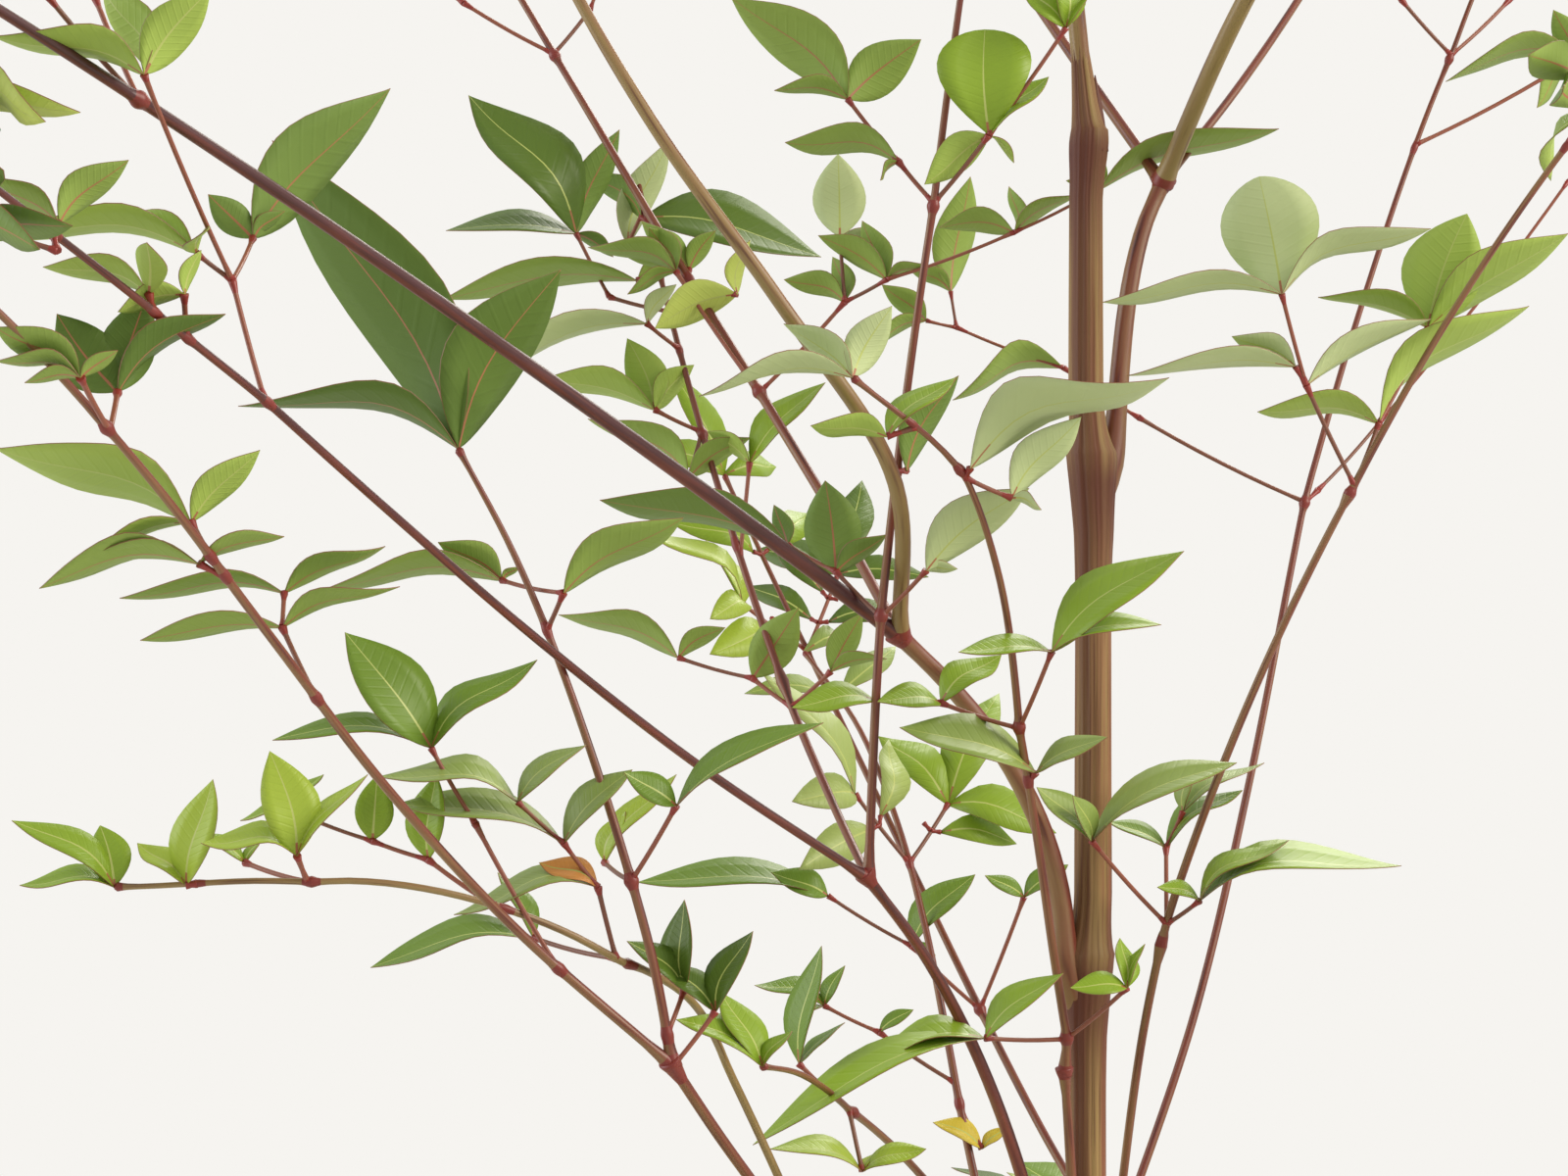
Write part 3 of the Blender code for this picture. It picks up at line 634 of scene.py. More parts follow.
            Spray(1, None, seen((463, 933, -5, 0.2, 0.17))),
            Spray(1, None, seen((550, 880, 0, 0.2, 0.4)), "apricot"),
            Spray(1, (575, 860, -8), (
                Spray(1, None, seen((403, 820, -5, 0.1, 0.17), (645, 785, 0, 0.2, 0.3))),
                Spray(1, (528, 818, -10), seen((385, 792, -5, 0.1, 0.2), (598, 760, 0, 0.1, 0.3))),
            )),
        ), "soft"),
        Spray(0.61, (545, 957, 30), seen((378, 987, 0, 0.3, 0.16), (508, 890, 10, 0.6, 0.3)), "mid"),
        Spray(0.72, (437, 877, 10), (
            Spray(1, None, seen((445, 790, 0, 0.8, 0.5))),
            Spray(1, (380, 858, 15), (
                Spray(1, None, seen((385, 790, 0, 0.8, 0.65))),
                Spray(1, (300, 828, 18), seen((245, 837, 0, 0.1, 0.25), (330, 790, 5, 0.4, 0.3))),
            )),
        ), "fresh"),
        Spray(0.86, (303, 873, -8), seen((275, 766, 0, 0.8, 0.58), (375, 790, 0, 0.6, 0.18), (205, 860, -5, 0.1, 0.26)), "lime"),
        Spray(0.86, (250, 880, 19), seen((205, 850, 0, 0.3, 0.3), (265, 858, 5, 0.3, 0.4)), "fresh"),
        Spray(0.94, (190, 903, 0), seen((217, 795, 0, 0.8, 0.42), (140, 860, 5, 0.5, 0.45)), "lime"),
        Spray(1.0, None, seen((12, 837, -5, 0.7, 0.26), (102, 842, 5, 0.8, 0.75), (20, 903, -5, 0.1, 0.2)), "fresh"),
    ),
    "fork_right": (
        Spray(0.29, (690, 822, -15), seen((840, 737, -5, 0.2, 0.17), (637, 788, -5, 0.3, 0.5)), "mid"),
        Spray(0.29, (617, 880, 30), seen((690, 790, 0, 0.7, 0.2), (638, 828, 0, 0.5, 0.45)), "lime"),
        Spray(0.05, (698, 1010, 10), seen((698, 918, 0, 0.7, 0.42), (640, 960, -5, 0.3, 0.4)), "deep"),
        Spray(0.0, (730, 1032, 5), seen((768, 950, 0, 0.7, 0.4), (672, 985, 5, 0.4, 0.4)), "deep"),
        Spray(0.69, (575, 605, -5), (
            Spray(1, None, seen((697, 528, -5, -0.4, 0.3))),
            Spray(1, (512, 592, 20), seen((447, 553, 0, -0.3, 0.5), (328, 602, -5, -0.1, 0.16), (530, 578, 0, -0.2, 0.4))),
        ), "mid"),
        Spray(1.0, None, seen((278, 143, 0, -0.7, 0.3), (572, 275, 0, -0.7, 0.42), (243, 414, -5, -0.2, 0.16)), "dark"),
    ),
    "fork_left": (
        Spray(0.12, (485, 840, 5), (
            Spray(1, (440, 763, 8), seen((352, 645, 0, 0.8, 0.5), (548, 673, 5, 0.5, 0.25), (278, 755, -5, 0.1, 0.13))),
        ), "mid"),
        Spray(0.43, (288, 640, 12), (
            Spray(1, None, seen((143, 653, -5, -0.1, 0.16), (408, 598, 0, -0.1, 0.2))),
            Spray(1, (290, 605, 25), seen((393, 557, 0, -0.1, 0.25), (122, 610, -5, -0.1, 0.13))),
        ), "mid"),
        Spray(0.56, (203, 575, -5), seen((40, 600, -5, -0.1, 0.18), (290, 547, 5, -0.1, 0.22), (75, 578, 0, -0.1, 0.2)), "mid"),
        Spray(0.58, (195, 532, 5), seen((-5, 457, -5, -0.3, 0.28), (265, 459, 0, -0.4, 0.38), (62, 585, -5, -0.1, 0.14)), "fresh"),
        Spray(0.71, (120, 400, 21), seen((58, 320, 0, -0.6, 0.7), (150, 300, 5, -0.6, 0.6), (230, 320, 0, -0.2, 0.22)), "dark"),
        Spray(0.71, (82, 385, -21), seen((-5, 333, -5, -0.3, 0.4), (120, 357, 0, -0.3, 0.4), (-5, 368, 0, -0.1, 0.2), (25, 390, 0, -0.1, 0.3)), "mid"),
    ),
}


def linear(code, strength=1.0):
    """The linear colour of an sRGB hex value."""
    parts = [int(code[i : i + 2], 16) / 255 for i in (1, 3, 5)]
    return tuple(strength * (c / 12.92 if c <= 0.04045 else ((c + 0.055) / 1.055) ** 2.4) for c in parts)


def shade(name, words, code):
    """A colour property with its default given as sRGB hex."""
    return FloatVectorProperty(
        name=name, description=words, subtype="COLOR", size=3, min=0, max=1, default=linear(code)
    )


def size(name, words, value):
    """A length property in metres."""
    return FloatProperty(name=name, description=words, default=value, min=0, unit="LENGTH", precision=4)


class CaneSettings(PropertyGroup):
    foot: size("Foot radius", "Radius of the cane just above its root flare", 0.0088)
    top: size("Top radius", "Radius of the cane under its bud", 0.0056)
    flare: size("Flare radius", "Radius of the root flare at the ground", 0.0172)
    flare_height: size("Flare height", "Height of the root flare", 0.05)
    groove: size("Groove depth", "Depth of the grooves along the cane", 0.00030)
    olive: shade("Olive bark", "Younger bark between the knots", "#9d8052")
    brown: shade("Brown bark", "Fibrous bark on the shaded side and low down", "#8a583f")
    # Painted shade: the bark darkens to this colour in two bands down opposite sides of the cane
    dark: shade("Dark bark", "Weathered bark on two opposite sides", "#613b28")
    knot: shade("Knot", "Red-brown skin of the leaf sheaths round the knots", "#5e3124")


class StalkSettings(PropertyGroup):
    root: size("Stalk root radius", "Radius of a main stalk where it leaves the cane", 0.0033)
    end: size("Stalk end radius", "Radius of a main stalk at its knuckle", 0.0023)
    limb: size("Limb radius", "Radius of a limb near its knuckle", 0.0022)
    limb_tip: size("Limb tip radius", "Radius of a limb at its tip", 0.0010)
    maroon: shade("Maroon skin", "Skin on the side that gets the sun", "#78392b")
    # Painted shade: the reddest stalks darken to this colour, most on their upper side
    painted_shade_plum: shade("Plum skin", "Skin of the limbs that got the most sun", "#4a2226")
    olive: shade("Olive skin", "Skin on the shaded side", "#927a4c")
    joint: shade("Red joint", "Swollen joints and collars", "#7d2d26")


class TwigSettings(PropertyGroup):
    radius: size("Twig radius", "Radius of a twig between its joints", 0.0008)
    petiole: size("Leaflet stalk length", "Length of the short stalk of a side leaflet", 0.004)
    russet: shade("Russet twig", "Twigs of the older leaves", "#7a4a39")
    ruddy: shade("Ruddy twig", "Twigs of the younger leaves", "#8d4f3c")
    joint: shade("Joint red", "Joints of the twigs and feet of the leaflets", "#8c2f28")


class LeafletSettings(PropertyGroup):
    length: size("Length", "Length of an end leaflet near the foot of its leaf", 0.060)
    width: FloatProperty(name="Width", description="Width as a share of the length", default=0.36, min=0.1, max=1)
    thickness: size("Thickness", "Thickness of the blade", 0.00028)
    fold: FloatProperty(name="Fold", description="Rise of the blade from midrib to margin", default=0.24)
    arch: FloatProperty(name="Arch", description="Rise of the blade's middle over its ends", default=0.10)
    seed: IntProperty(name="Seed", description="Start of the chances that leaflets take", default=3)
    margin: shade("Margin", "Thin dark rim of the blade", "#83553a")
    midrib: shade("Midrib", "Pale midrib of either side", "#b3bd68")
    midrib_foot: shade("Midrib foot", "Reddish foot of the midrib", "#a86a48")


class StageSettings(PropertyGroup):
    backdrop: shade("Backdrop", "Plain off-white paper behind and below", "#f6f4f0")
    floor: FloatProperty(name="Floor width", description="Width of the floor", default=6.0, min=1, unit="LENGTH")
    key: FloatProperty(name="Key light", description="Power of the large soft lamp", default=58.0, min=0)
    fill: FloatProperty(name="Fill light", description="Power of the lamp on the other side", default=30.0, min=0)
    back: FloatProperty(name="Back light", description="Power of the lamp behind the plant", default=30.0, min=0)
    glow: FloatProperty(name="Glow", description="Strength of the even light from all round", default=0.7, min=0)


class BambooSettings(PropertyGroup):
    cane: PointerProperty(type=CaneSettings)
    stalks: PointerProperty(type=StalkSettings)
    twigs: PointerProperty(type=TwigSettings)
    leaflets: PointerProperty(type=LeafletSettings)
    stage: PointerProperty(type=StageSettings)


# The upper side and the underside of the blades of a spray, as sRGB, with how often each pair comes up. The deep and
# dark pairs also paint shade on sprays that stand in shade, and the pale pair is paler partly by the blades' own tone
# and partly as painted glow of light through the blades
GREENS = (
    ("fresh leaf", "#86a22e", "#a1b857", 5),
    ("mid leaf", "#6c892c", "#8ba24e", 6),
    ("deep leaf", "#587127", "#728b43", 3),
    ("dark leaf", "#4a611f", "#5f7834", 2),
    ("soft leaf", "#8ca052", "#a6b672", 3),
    ("pale leaf", "#9fb064", "#bac792", 3),
    ("lime leaf", "#9fb53e", "#bcca66", 3),
)
# Darker leaves have a reddish midrib below
RED_RIBBED = ("mid leaf", "deep leaf", "dark leaf")
TINTS = (("yellow leaf", "#c9b43c", "#c8bf68"), ("apricot leaf", "#cf8f4e", "#d3a877"))


def from_picture(column, row, depth):
    """The place at a depth behind the cane that the picture shows at a column and row."""
    scale = PIXEL * (depth - EYE.y) / -EYE.y
    return Vector((EYE.x + (column - PICTURE[0] / 2) * scale, depth, EYE.z - (row - PICTURE[1] / 2) * scale))


def to_picture(place):
    scale = PIXEL * (place.y - EYE.y) / -EYE.y
    return (place.x - EYE.x) / scale + PICTURE[0] / 2, PICTURE[1] / 2 - (place.z - EYE.z) / scale


def heading(turn, rise):
    """The unit vector that a turn and a rise give."""
    t, r = math.radians(turn), math.radians(rise)
    return Vector((math.cos(t) * math.cos(r), math.sin(t) * math.cos(r), math.sin(r)))


def blend(angles, along):
    """The angle at a share of the way along, on the even curve through those at the foot, middle and tip."""
    foot, middle, tip = angles
    return foot * (1 - along) * (1 - 2 * along) + middle * 4 * along * (1 - along) + tip * along * (2 * along - 1)


def route(start, limb, steps):
    """Points along a limb from its foot to its tip, in equal steps."""
    points = [Vector(start)]
    for i in range(steps):
        along = (i + 0.5) / steps
        ahead = heading(blend(limb.turns, along), blend(limb.rises, along))
        points.append(points[-1] + ahead * (limb.length / steps))
    return points


def at(points, share):
    """The place and the direction at a share of the way along evenly spaced points."""
    place = min(max(share, 0.0), 1.0) * (len(points) - 1)
    i = min(int(place), len(points) - 2)
    ahead = points[i + 1] - points[i]
    return points[i] + ahead * (place - i), ahead.normalized()


def smooth(points, steps):
    """A smooth line through the points, with the steps between each pair."""
    ends = [2 * points[0] - points[1], *points, 2 * points[-1] - points[-2]]
    line = []
    for a, b, c, d in zip(ends, ends[1:], ends[2:], ends[3:]):
        for i in range(steps):
            t = i / steps
            bend = (2 * a - 5 * b + 4 * c - d) * t**2 + (3 * b - a - 3 * c + d) * t**3
            line.append((2 * b + (c - a) * t + bend) / 2)
    return line + [points[-1].copy()]


def face_up(ahead, inward, roll=0.0):
    """The direction that the upper side of a limb or a leaflet faces: upwards, and towards the cane if it is steep."""
    wanted = Vector((0, 0, 1)) + 0.45 * inward
    up = (wanted - ahead * wanted.dot(ahead)).normalized()
    return Matrix.Rotation(math.radians(roll), 3, ahead) @ up


@dataclass
class Twig:
    """A fine stalk from its joint to its end."""

    leaf: str
    start: Vector
    end: Vector
    girth: float = 1.0


@dataclass
class Blade:
    """A leaflet from its foot to its tip, with the direction that its upper side faces and its spray's colours."""

    leaf: str
    foot: Vector
    tip: Vector
    up: Vector
    wide: float = 1.0
    tone: int = 0
    fine: bool = False
    arch: float = 1.0


@dataclass
class Plant:
    """The lines of the whole plant."""

    stalks: dict = field(default_factory=dict)
    limbs: dict = field(default_factory=dict)
    knuckles: dict = field(default_factory=dict)
    joints: dict = field(default_factory=dict)
    twigs: list = field(default_factory=list)
    blades: list = field(default_factory=list)


def knots():
    """The heights of the cane's knots, old leaf scars included."""
    return sorted([*SCAR_HEIGHTS, *(leaf.height for leaf in LEAVES if leaf.height)])


def cane_jog(height):
    """How far the cane's centre line jogs to one side at a height."""
    passed = sum(height > knot for knot in knots())
    nearest = min(abs(height - knot) for knot in knots())
    share = min(1.0, nearest / 0.024)
    share *= min(1.0, max(0.0, (height - 0.02) / 0.03))
    return 0.0012 * (1 if passed % 2 else -1) * share


def node_end(name, near):
    """The centre of the far end of a stalk's solid, near the place where it is expected."""
    corners = sorted((vert.co for vert in frame["nodes"][name].data.vertices), key=lambda c: (c - near).length)
    own = [corners[0]]
    for corner in corners:
        if all((corner - other).length > 1e-5 for other in own):
            own.append(corner)
        if len(own) == 8:
            break
    return sum(own, Vector()) / len(own)


def stalk_line(leaf, plant):
    """The points of a main stalk as its solid has them, slid to where that solid was seated."""
    stalk, cane = leaf.stalk, bpy.context.scene.bamboo.cane
    ahead = heading(stalk.turns[0], stalk.rises[0])
    if leaf.parent:
        foot = plant.knuckles[leaf.parent] + ahead * KNUCKLE_RADIUS
    elif leaf.height >= CANE_HEIGHT:
        foot = Vector((cane_jog(CANE_HEIGHT), 0, CANE_HEIGHT + 0.0007))
    else:
        radius = cane.foot + (cane.top - cane.foot) * leaf.height / CANE_HEIGHT
        foot = Vector((cane_jog(leaf.height), 0, leaf.height))
        foot += heading(stalk.turns[0], 0) * (radius * 1.16 + 0.0033 + 0.0003)
    points = route(foot, stalk, LIMB_STEPS)
    end, ahead = at(points, 1.0)
    end = end + ahead * KNUCKLE_RADIUS * 0.6
    slid = node_end(stalk.name, end) - end
    return [point + slid for point in points]


def limb_line(limb, knuckle):
    """The points of a limb from its knuckle, moved sideways to where the picture shows it."""
    points = smooth(route(knuckle, limb, LIMB_STEPS), 8)
    passes = [(0.0, 0.0, 0.0)]
    for share, column, row in PASSES.get(limb.name, ()):
        place, _ = at(points, share)
        seen = to_picture(place)
        passes.append((share, column - seen[0], row - seen[1]))
    passes.append((1.0, passes[-1][1], passes[-1][2]) if passes[-1][0] < 1 else passes[-1])
    moved = []
    for i, point in enumerate(points):
        share = i / (len(points) - 1)
        low, high = next((a, b) for a, b in zip(passes, passes[1:]) if share <= b[0] or b is passes[-1])
        part = (share - low[0]) / max(high[0] - low[0], 1e-6)
        part = min(max(part, 0.0), 1.0)
        seen = to_picture(point)
        column = seen[0] + low[1] + (high[1] - low[1]) * part
        row = seen[1] + low[2] + (high[2] - low[2]) * part
        moved.append(from_picture(column, row, point.y))
    return moved


class Room:
    """What already stands, so that a new leaflet can be tried against it."""

    def __init__(self, plant):
        lines = [*plant.stalks.values(), *plant.limbs.values()]
        places = [place for line in lines for place in smooth(line, 3)]
        self.stems = KDTree(len(places))
        for i, place in enumerate(places):
            self.stems.insert(place, i)
        self.stems.balance()
        self.blades = []

    def box(self, corners):
        low = [min(c[i] for c in corners) for i in range(3)]
        high = [max(c[i] for c in corners) for i in range(3)]
        return low, high

    def meets(self, shape, foot, own):
        """Whether the shape crosses a leaflet past its own set, or a stem away from its own foot."""
        corners = [vert.co for vert in shape.verts]
        for corner in corners:
            near, _, away = self.stems.find(corner)
            if away < 0.0026 and (near - foot).length > 0.012:
                return True
        low, high = self.box(corners)
        tree = None
        for owner, lowest, highest, other in self.blades:
            if owner == own or any(low[i] > highest[i] or high[i] < lowest[i] for i in range(3)):
                continue
            tree = tree or BVHTree.FromBMesh(shape)
            if tree.overlap(other):
                return True
        return False

    def add(self, shape, own):
        low, high = self.box([vert.co for vert in shape.verts])
        self.blades.append((own, low, high, BVHTree.FromBMesh(shape)))


def in_sky(blade):
    """Whether a leaflet would show in a window of the picture that shows none."""
    for share in (0.1, 0.5, 1.0):
        column, row = to_picture(blade.foot.lerp(blade.tip, share))
        if any(left < column < right and top < row < bottom for left, right, top, bottom in SKY):
            return True
    return False


def pick_tone(dice):
    """The colours of a spray: mostly greens, now and then an autumn tint."""
    if dice.random() < 0.012:
        return len(GREENS) + dice.randrange(len(TINTS))
    return dice.choices(range(len(GREENS)), [green[3] for green in GREENS])[0]


def add_set(plant, leaf, start, out, inward, length, count, tone, dice):
    """A set of leaflets on a twig: one straight on and two to its sides, or only the two side ones, which then sit on
    short stalks.
    """
    twigs = bpy.context.scene.bamboo.twigs
    up = face_up(out, inward, dice.uniform(-25, 25))
    angles = {1: (0.0,), 2: (-SIDE_ANGLE, SIDE_ANGLE), 3: (0.0, -SIDE_ANGLE, SIDE_ANGLE)}[count]
    for angle in angles:
        ahead = Matrix.Rotation(math.radians(angle + dice.uniform(-12, 12)), 3, up) @ out
        size = length * (SIDE_LEAFLET if angle else 1.0) * dice.uniform(0.82, 1.15)
        if angle:
            ahead = (ahead + Vector((0, 0, dice.uniform(-0.28, 0.10)))).normalized()
        top = (up - ahead * up.dot(ahead)).normalized()
        foot = start
        if count == 2:
            foot = start + ahead * twigs.petiole
            plant.twigs.append(Twig(leaf, start, foot, 0.75))
        blade = Blade(leaf, foot, foot + ahead * size, top, dice.uniform(0.88, 1.2), tone)
        blade.arch = dice.uniform(0.5, 1.7)
        plant.blades.append(blade)


def grow_by_rule(plant, leaf, limb, line, inward):
    """Pairs of twigs at the limb's joints, each with leaflets at its middle joint and its end."""
    dice = random.Random(limb.name)
    finer = random.Random(f"{limb.name} finer {bpy.context.scene.bamboo.leaflets.seed}")
    length = bpy.context.scene.bamboo.leaflets.length
    shown = [spray.share for spray in SPRAYS.get(limb.name, ())]
    stated = [joint[0] if isinstance(joint, tuple) else joint for joint in limb.joints]
    between = [(a + b) / 2 for a, b in zip(stated, [*stated[1:], 1.0])]
    for joint in [*limb.joints, *between]:
        chance, shrink = (finer, 0.8) if joint in between else (dice, 1.0)
        if isinstance(joint, tuple):
            share, *ways = joint
            place, ahead = at(line, share)
            twigs = [(heading(turn, rise), reach) for turn, rise, reach in ways]
        else:
            share = joint
            place, ahead = at(line, share)
            across = ahead.cross(face_up(ahead, inward))
            twigs = []
            for side in (-1, 1):
                reach = TWIG_LENGTH * (1 - TWIG_FADE * joint) * chance.uniform(0.75, 1.25) * shrink
                angle = math.radians(SPREAD + chance.uniform(-8, 8))
                lift = TWIG_LIFT + chance.uniform(-0.12, 0.12)
                out = ahead * math.cos(angle) + across * side * math.sin(angle) + Vector((0, 0, lift))
                twigs.append((out.normalized(), reach))
        if any(abs(share - other) < 0.07 for other in shown):
            continue
        column, row = to_picture(place)
        if share in between and 0 < column < PICTURE[0] and 0 < row < PICTURE[1]:
            continue
        plant.joints.setdefault(limb.name, []).append(share)
        for out, reach in twigs:
            tone = pick_tone(finer)
            end = place + out * reach
            plant.twigs.append(Twig(leaf, place, end))
            size = length * (1 - 0.25 * share)
            shares = (0.36, 0.68) if reach > 0.035 else (0.55,) if reach > 0.018 else ()
            for middle in shares:
                add_set(plant, leaf, place + out * reach * middle, out, inward, size * 0.9, 2, tone, finer)
            add_set(plant, leaf, end, out, inward, size, 3, tone, finer)
    if not any(share > 0.92 for share in shown):
        tip, ahead = at(line, 1.0)
        tone = pick_tone(finer)
        for share in (0.90, 1.0):
            place, ahead = at(line, share)
            if share < 1 and not any(abs(share - other) < 0.05 for other in shown):
                add_set(plant, leaf, place, ahead, inward, length * 0.72, 2, tone, finer)
        add_set(plant, leaf, tip, ahead, inward, length * 0.8, 3, tone, finer)


def add_shown(plant, leaf, foot, shown, tone, dice):
    """A leaflet of the picture, tilted about its own line until it looks as wide as it does there."""
    tip = from_picture(shown.column, shown.row, foot.y + shown.depth / 1000)
    ahead = (tip - foot).normalized()
    view = (EYE - foot).normalized()
    level = (view - ahead * view.dot(ahead)).normalized()
    above = ahead.cross(level)
    above *= math.copysign(1.0, above.z)
    length = (tip - foot).length
    wide = 0.9 * shown.wide * math.sqrt(max(1 - view.dot(ahead) ** 2, 0.1))
    real = min(max(wide / max(abs(shown.face), 0.35), 0.32), max(0.54, wide))
    turned = min(wide / real, 1.0)
    up = level * math.copysign(turned, shown.face) + above * math.sqrt(1 - turned**2)
    blade = Blade(leaf, foot, tip, up, real / bpy.context.scene.bamboo.leaflets.width, tone, True)
    blade.arch = dice.uniform(0.5, 1.3)
    plant.blades.append(blade)


def grow_spray(plant, leaf, stem, depth, spray, dice, girth=1.0, tone=None):
    """A spray of the picture: its twig, then the twigs and leaflets that it ends in."""
    if spray.tint:
        tone = next(i for i, tint in enumerate([*GREENS, *TINTS]) if tint[0].startswith(spray.tint))
    elif tone is None:
        tone = pick_tone(dice)
    start, _ = at(stem, spray.share)
    tip = start
    if spray.end:
        tip = from_picture(spray.end[0], spray.end[1], depth + spray.end[2] / 1000)
        plant.twigs.append(Twig(leaf, start, tip, girth))
    for part in spray.parts:
        if isinstance(part, Spray):
            grow_spray(plant, leaf, [start, tip], depth, part, dice, girth * 0.9, tone)
        else:
            add_shown(plant, leaf, tip, part, tone, dice)


def grow():
    """The whole plant's lines: stalks and limbs as the solids have them, then twigs and leaflets."""
    plant = Plant()
    for leaf in LEAVES:
        points = stalk_line(leaf, plant)
        plant.knuckles[leaf.stalk.name] = points[-1]
        plant.stalks[leaf.stalk.name] = smooth(points, 5)
        for limb in leaf.limbs:
            plant.limbs[limb.name] = limb_line(limb, points[-1])
    for leaf in LEAVES:
        for limb in leaf.limbs:
            line = plant.limbs[limb.name]
            outward = line[len(line) // 2].copy()
            outward.z = 0
            inward = -outward.normalized()
            dice = random.Random(limb.name + " shown")
            for spray in SPRAYS.get(limb.name, ()):
                plant.joints.setdefault(limb.name, []).append(spray.share)
                grow_spray(plant, leaf.name, line, at(line, spray.share)[0].y, spray, dice)
            grow_by_rule(plant, leaf.name, limb, line, inward)
    return plant


def tube(line, radius, sides, paint, blush=0.3):
    """A closed tube along the line. The radius is asked for at each share and angle, the paint at each share."""
    shape = bmesh.new()
    map_ = shape.loops.layers.uv.new("stem")
    red = shape.verts.layers.float.new("blush")
    steps = len(line) - 1
    bmesh.ops.create_grid(shape, x_segments=sides, y_segments=steps, size=0.5)
    frames, ahead, up = [], None, None
    lengths = [0.0]
    for i in range(steps + 1):
        before, after = line[max(i - 1, 0)], line[min(i + 1, steps)]
        ahead = (after - before).normalized()
        wanted = up if up is not None else face_up(ahead, Vector((0.6, -0.5, 0.4)))
        up = (wanted - ahead * wanted.dot(ahead)).normalized()
        frames.append((up, ahead.cross(up)))
        if i:
            lengths.append(lengths[-1] + (line[i] - line[i - 1]).length)
    total = lengths[-1]
    place = {}
    for vert in shape.verts:
        i = round((vert.co.x + 0.5) * sides)
        j = round((vert.co.y + 0.5) * steps)
        place[vert] = (i / sides, lengths[j])
        angle = 2 * math.pi * i / sides
        share = lengths[j] / total
        out = frames[j][0] * math.cos(angle) + frames[j][1] * math.sin(angle)
        vert.co = line[j] + out * radius(share, angle)
        vert[red] = blush
    for face in shape.faces:
        middle = sum(place[loop.vert][1] for loop in face.loops) / 4 / total
        face.material_index = paint(middle)
        face.smooth = True
        for loop in face.loops:
            loop[map_].uv = place[loop.vert]
    bmesh.ops.remove_doubles(shape, verts=shape.verts, dist=1e-7)
    rims = [edge for edge in shape.edges if edge.is_boundary]
    for face in bmesh.ops.holes_fill(shape, edges=rims, sides=0)["faces"]:
        face.smooth = False
        face.material_index = paint(0.0)
    bmesh.ops.recalc_face_normals(shape, faces=shape.faces)
    return shape


def ringed(line, joints, length, spacing=0.006):
    """The line again, with points close together at its joints and its ends."""
    shares = [i * spacing / length for i in range(int(length / spacing))]
    for joint in (0.0, *joints, 1.0):
        shares += [joint + step / length for step in (-0.0042, -0.0028, -0.0018, -0.0009, 0, 0.0009, 0.0018, 0.0028, 0.0042)]
    kept = [0.0]
    for share in sorted(shares):
        if kept[-1] + 0.0006 / length < share < 1 - 0.0006 / length:
            kept.append(share)
    return [at(line, share)[0] for share in [*kept, 1.0]]


def append(total, shape):
    """Adds a shape to a piece's growing mesh."""
    mesh = bpy.data.meshes.new("scratch")
    shape.to_mesh(mesh)
    shape.free()
    total.from_mesh(mesh)
    bpy.data.meshes.remove(mesh)


def piece(name, shape, materials, slot, nodes=()):
    """Turns a finished shape into a piece that rides on the plant and stands for its solids."""
    mesh = bpy.data.meshes.new(name)
    shape.to_mesh(mesh)
    shape.free()
    for made in materials:
        mesh.materials.append(made)
    made = bpy.data.objects.new(name, mesh)
    bpy.context.scene.collection.objects.link(made)
    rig.ride(made, "root")
    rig.slot(made, slot)
    if nodes:
        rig.replaces(made, *nodes)
    return made


def node(tree, kind, links=None, **settings):
    """Adds a node with its settings, and links each named input from a socket or sets it to a value."""
    made = tree.nodes.new(kind)
    for key, value in settings.items():
        setattr(made, key, value)
    for key, value in (links or {}).items():
        if isinstance(value, bpy.types.NodeSocket):
            tree.links.new(value, made.inputs[key])
        else:
            made.inputs[key].default_value = value
    return made


def surface(name):
    """An empty material with its shader."""
    made = bpy.data.materials.new(name)
    made.use_nodes = True
    return made, made.node_tree, made.node_tree.nodes["Principled BSDF"]


def mix(tree, factor, first, second):
    made = node(tree, "ShaderNodeMix", {"Factor": factor}, data_type="RGBA")
    for socket, value in ((made.inputs[6], first), (made.inputs[7], second)):
        if isinstance(value, bpy.types.NodeSocket):
            tree.links.new(value, socket)
        else:
            socket.default_value = (*value, 1)
    return made.outputs[2]


def ramp(tree, value, low, high):
    """Turns a value into a share between two limits."""
    return node(tree, "ShaderNodeMapRange", {"Value": value, "From Min": low, "From Max": high}).outputs["Result"]


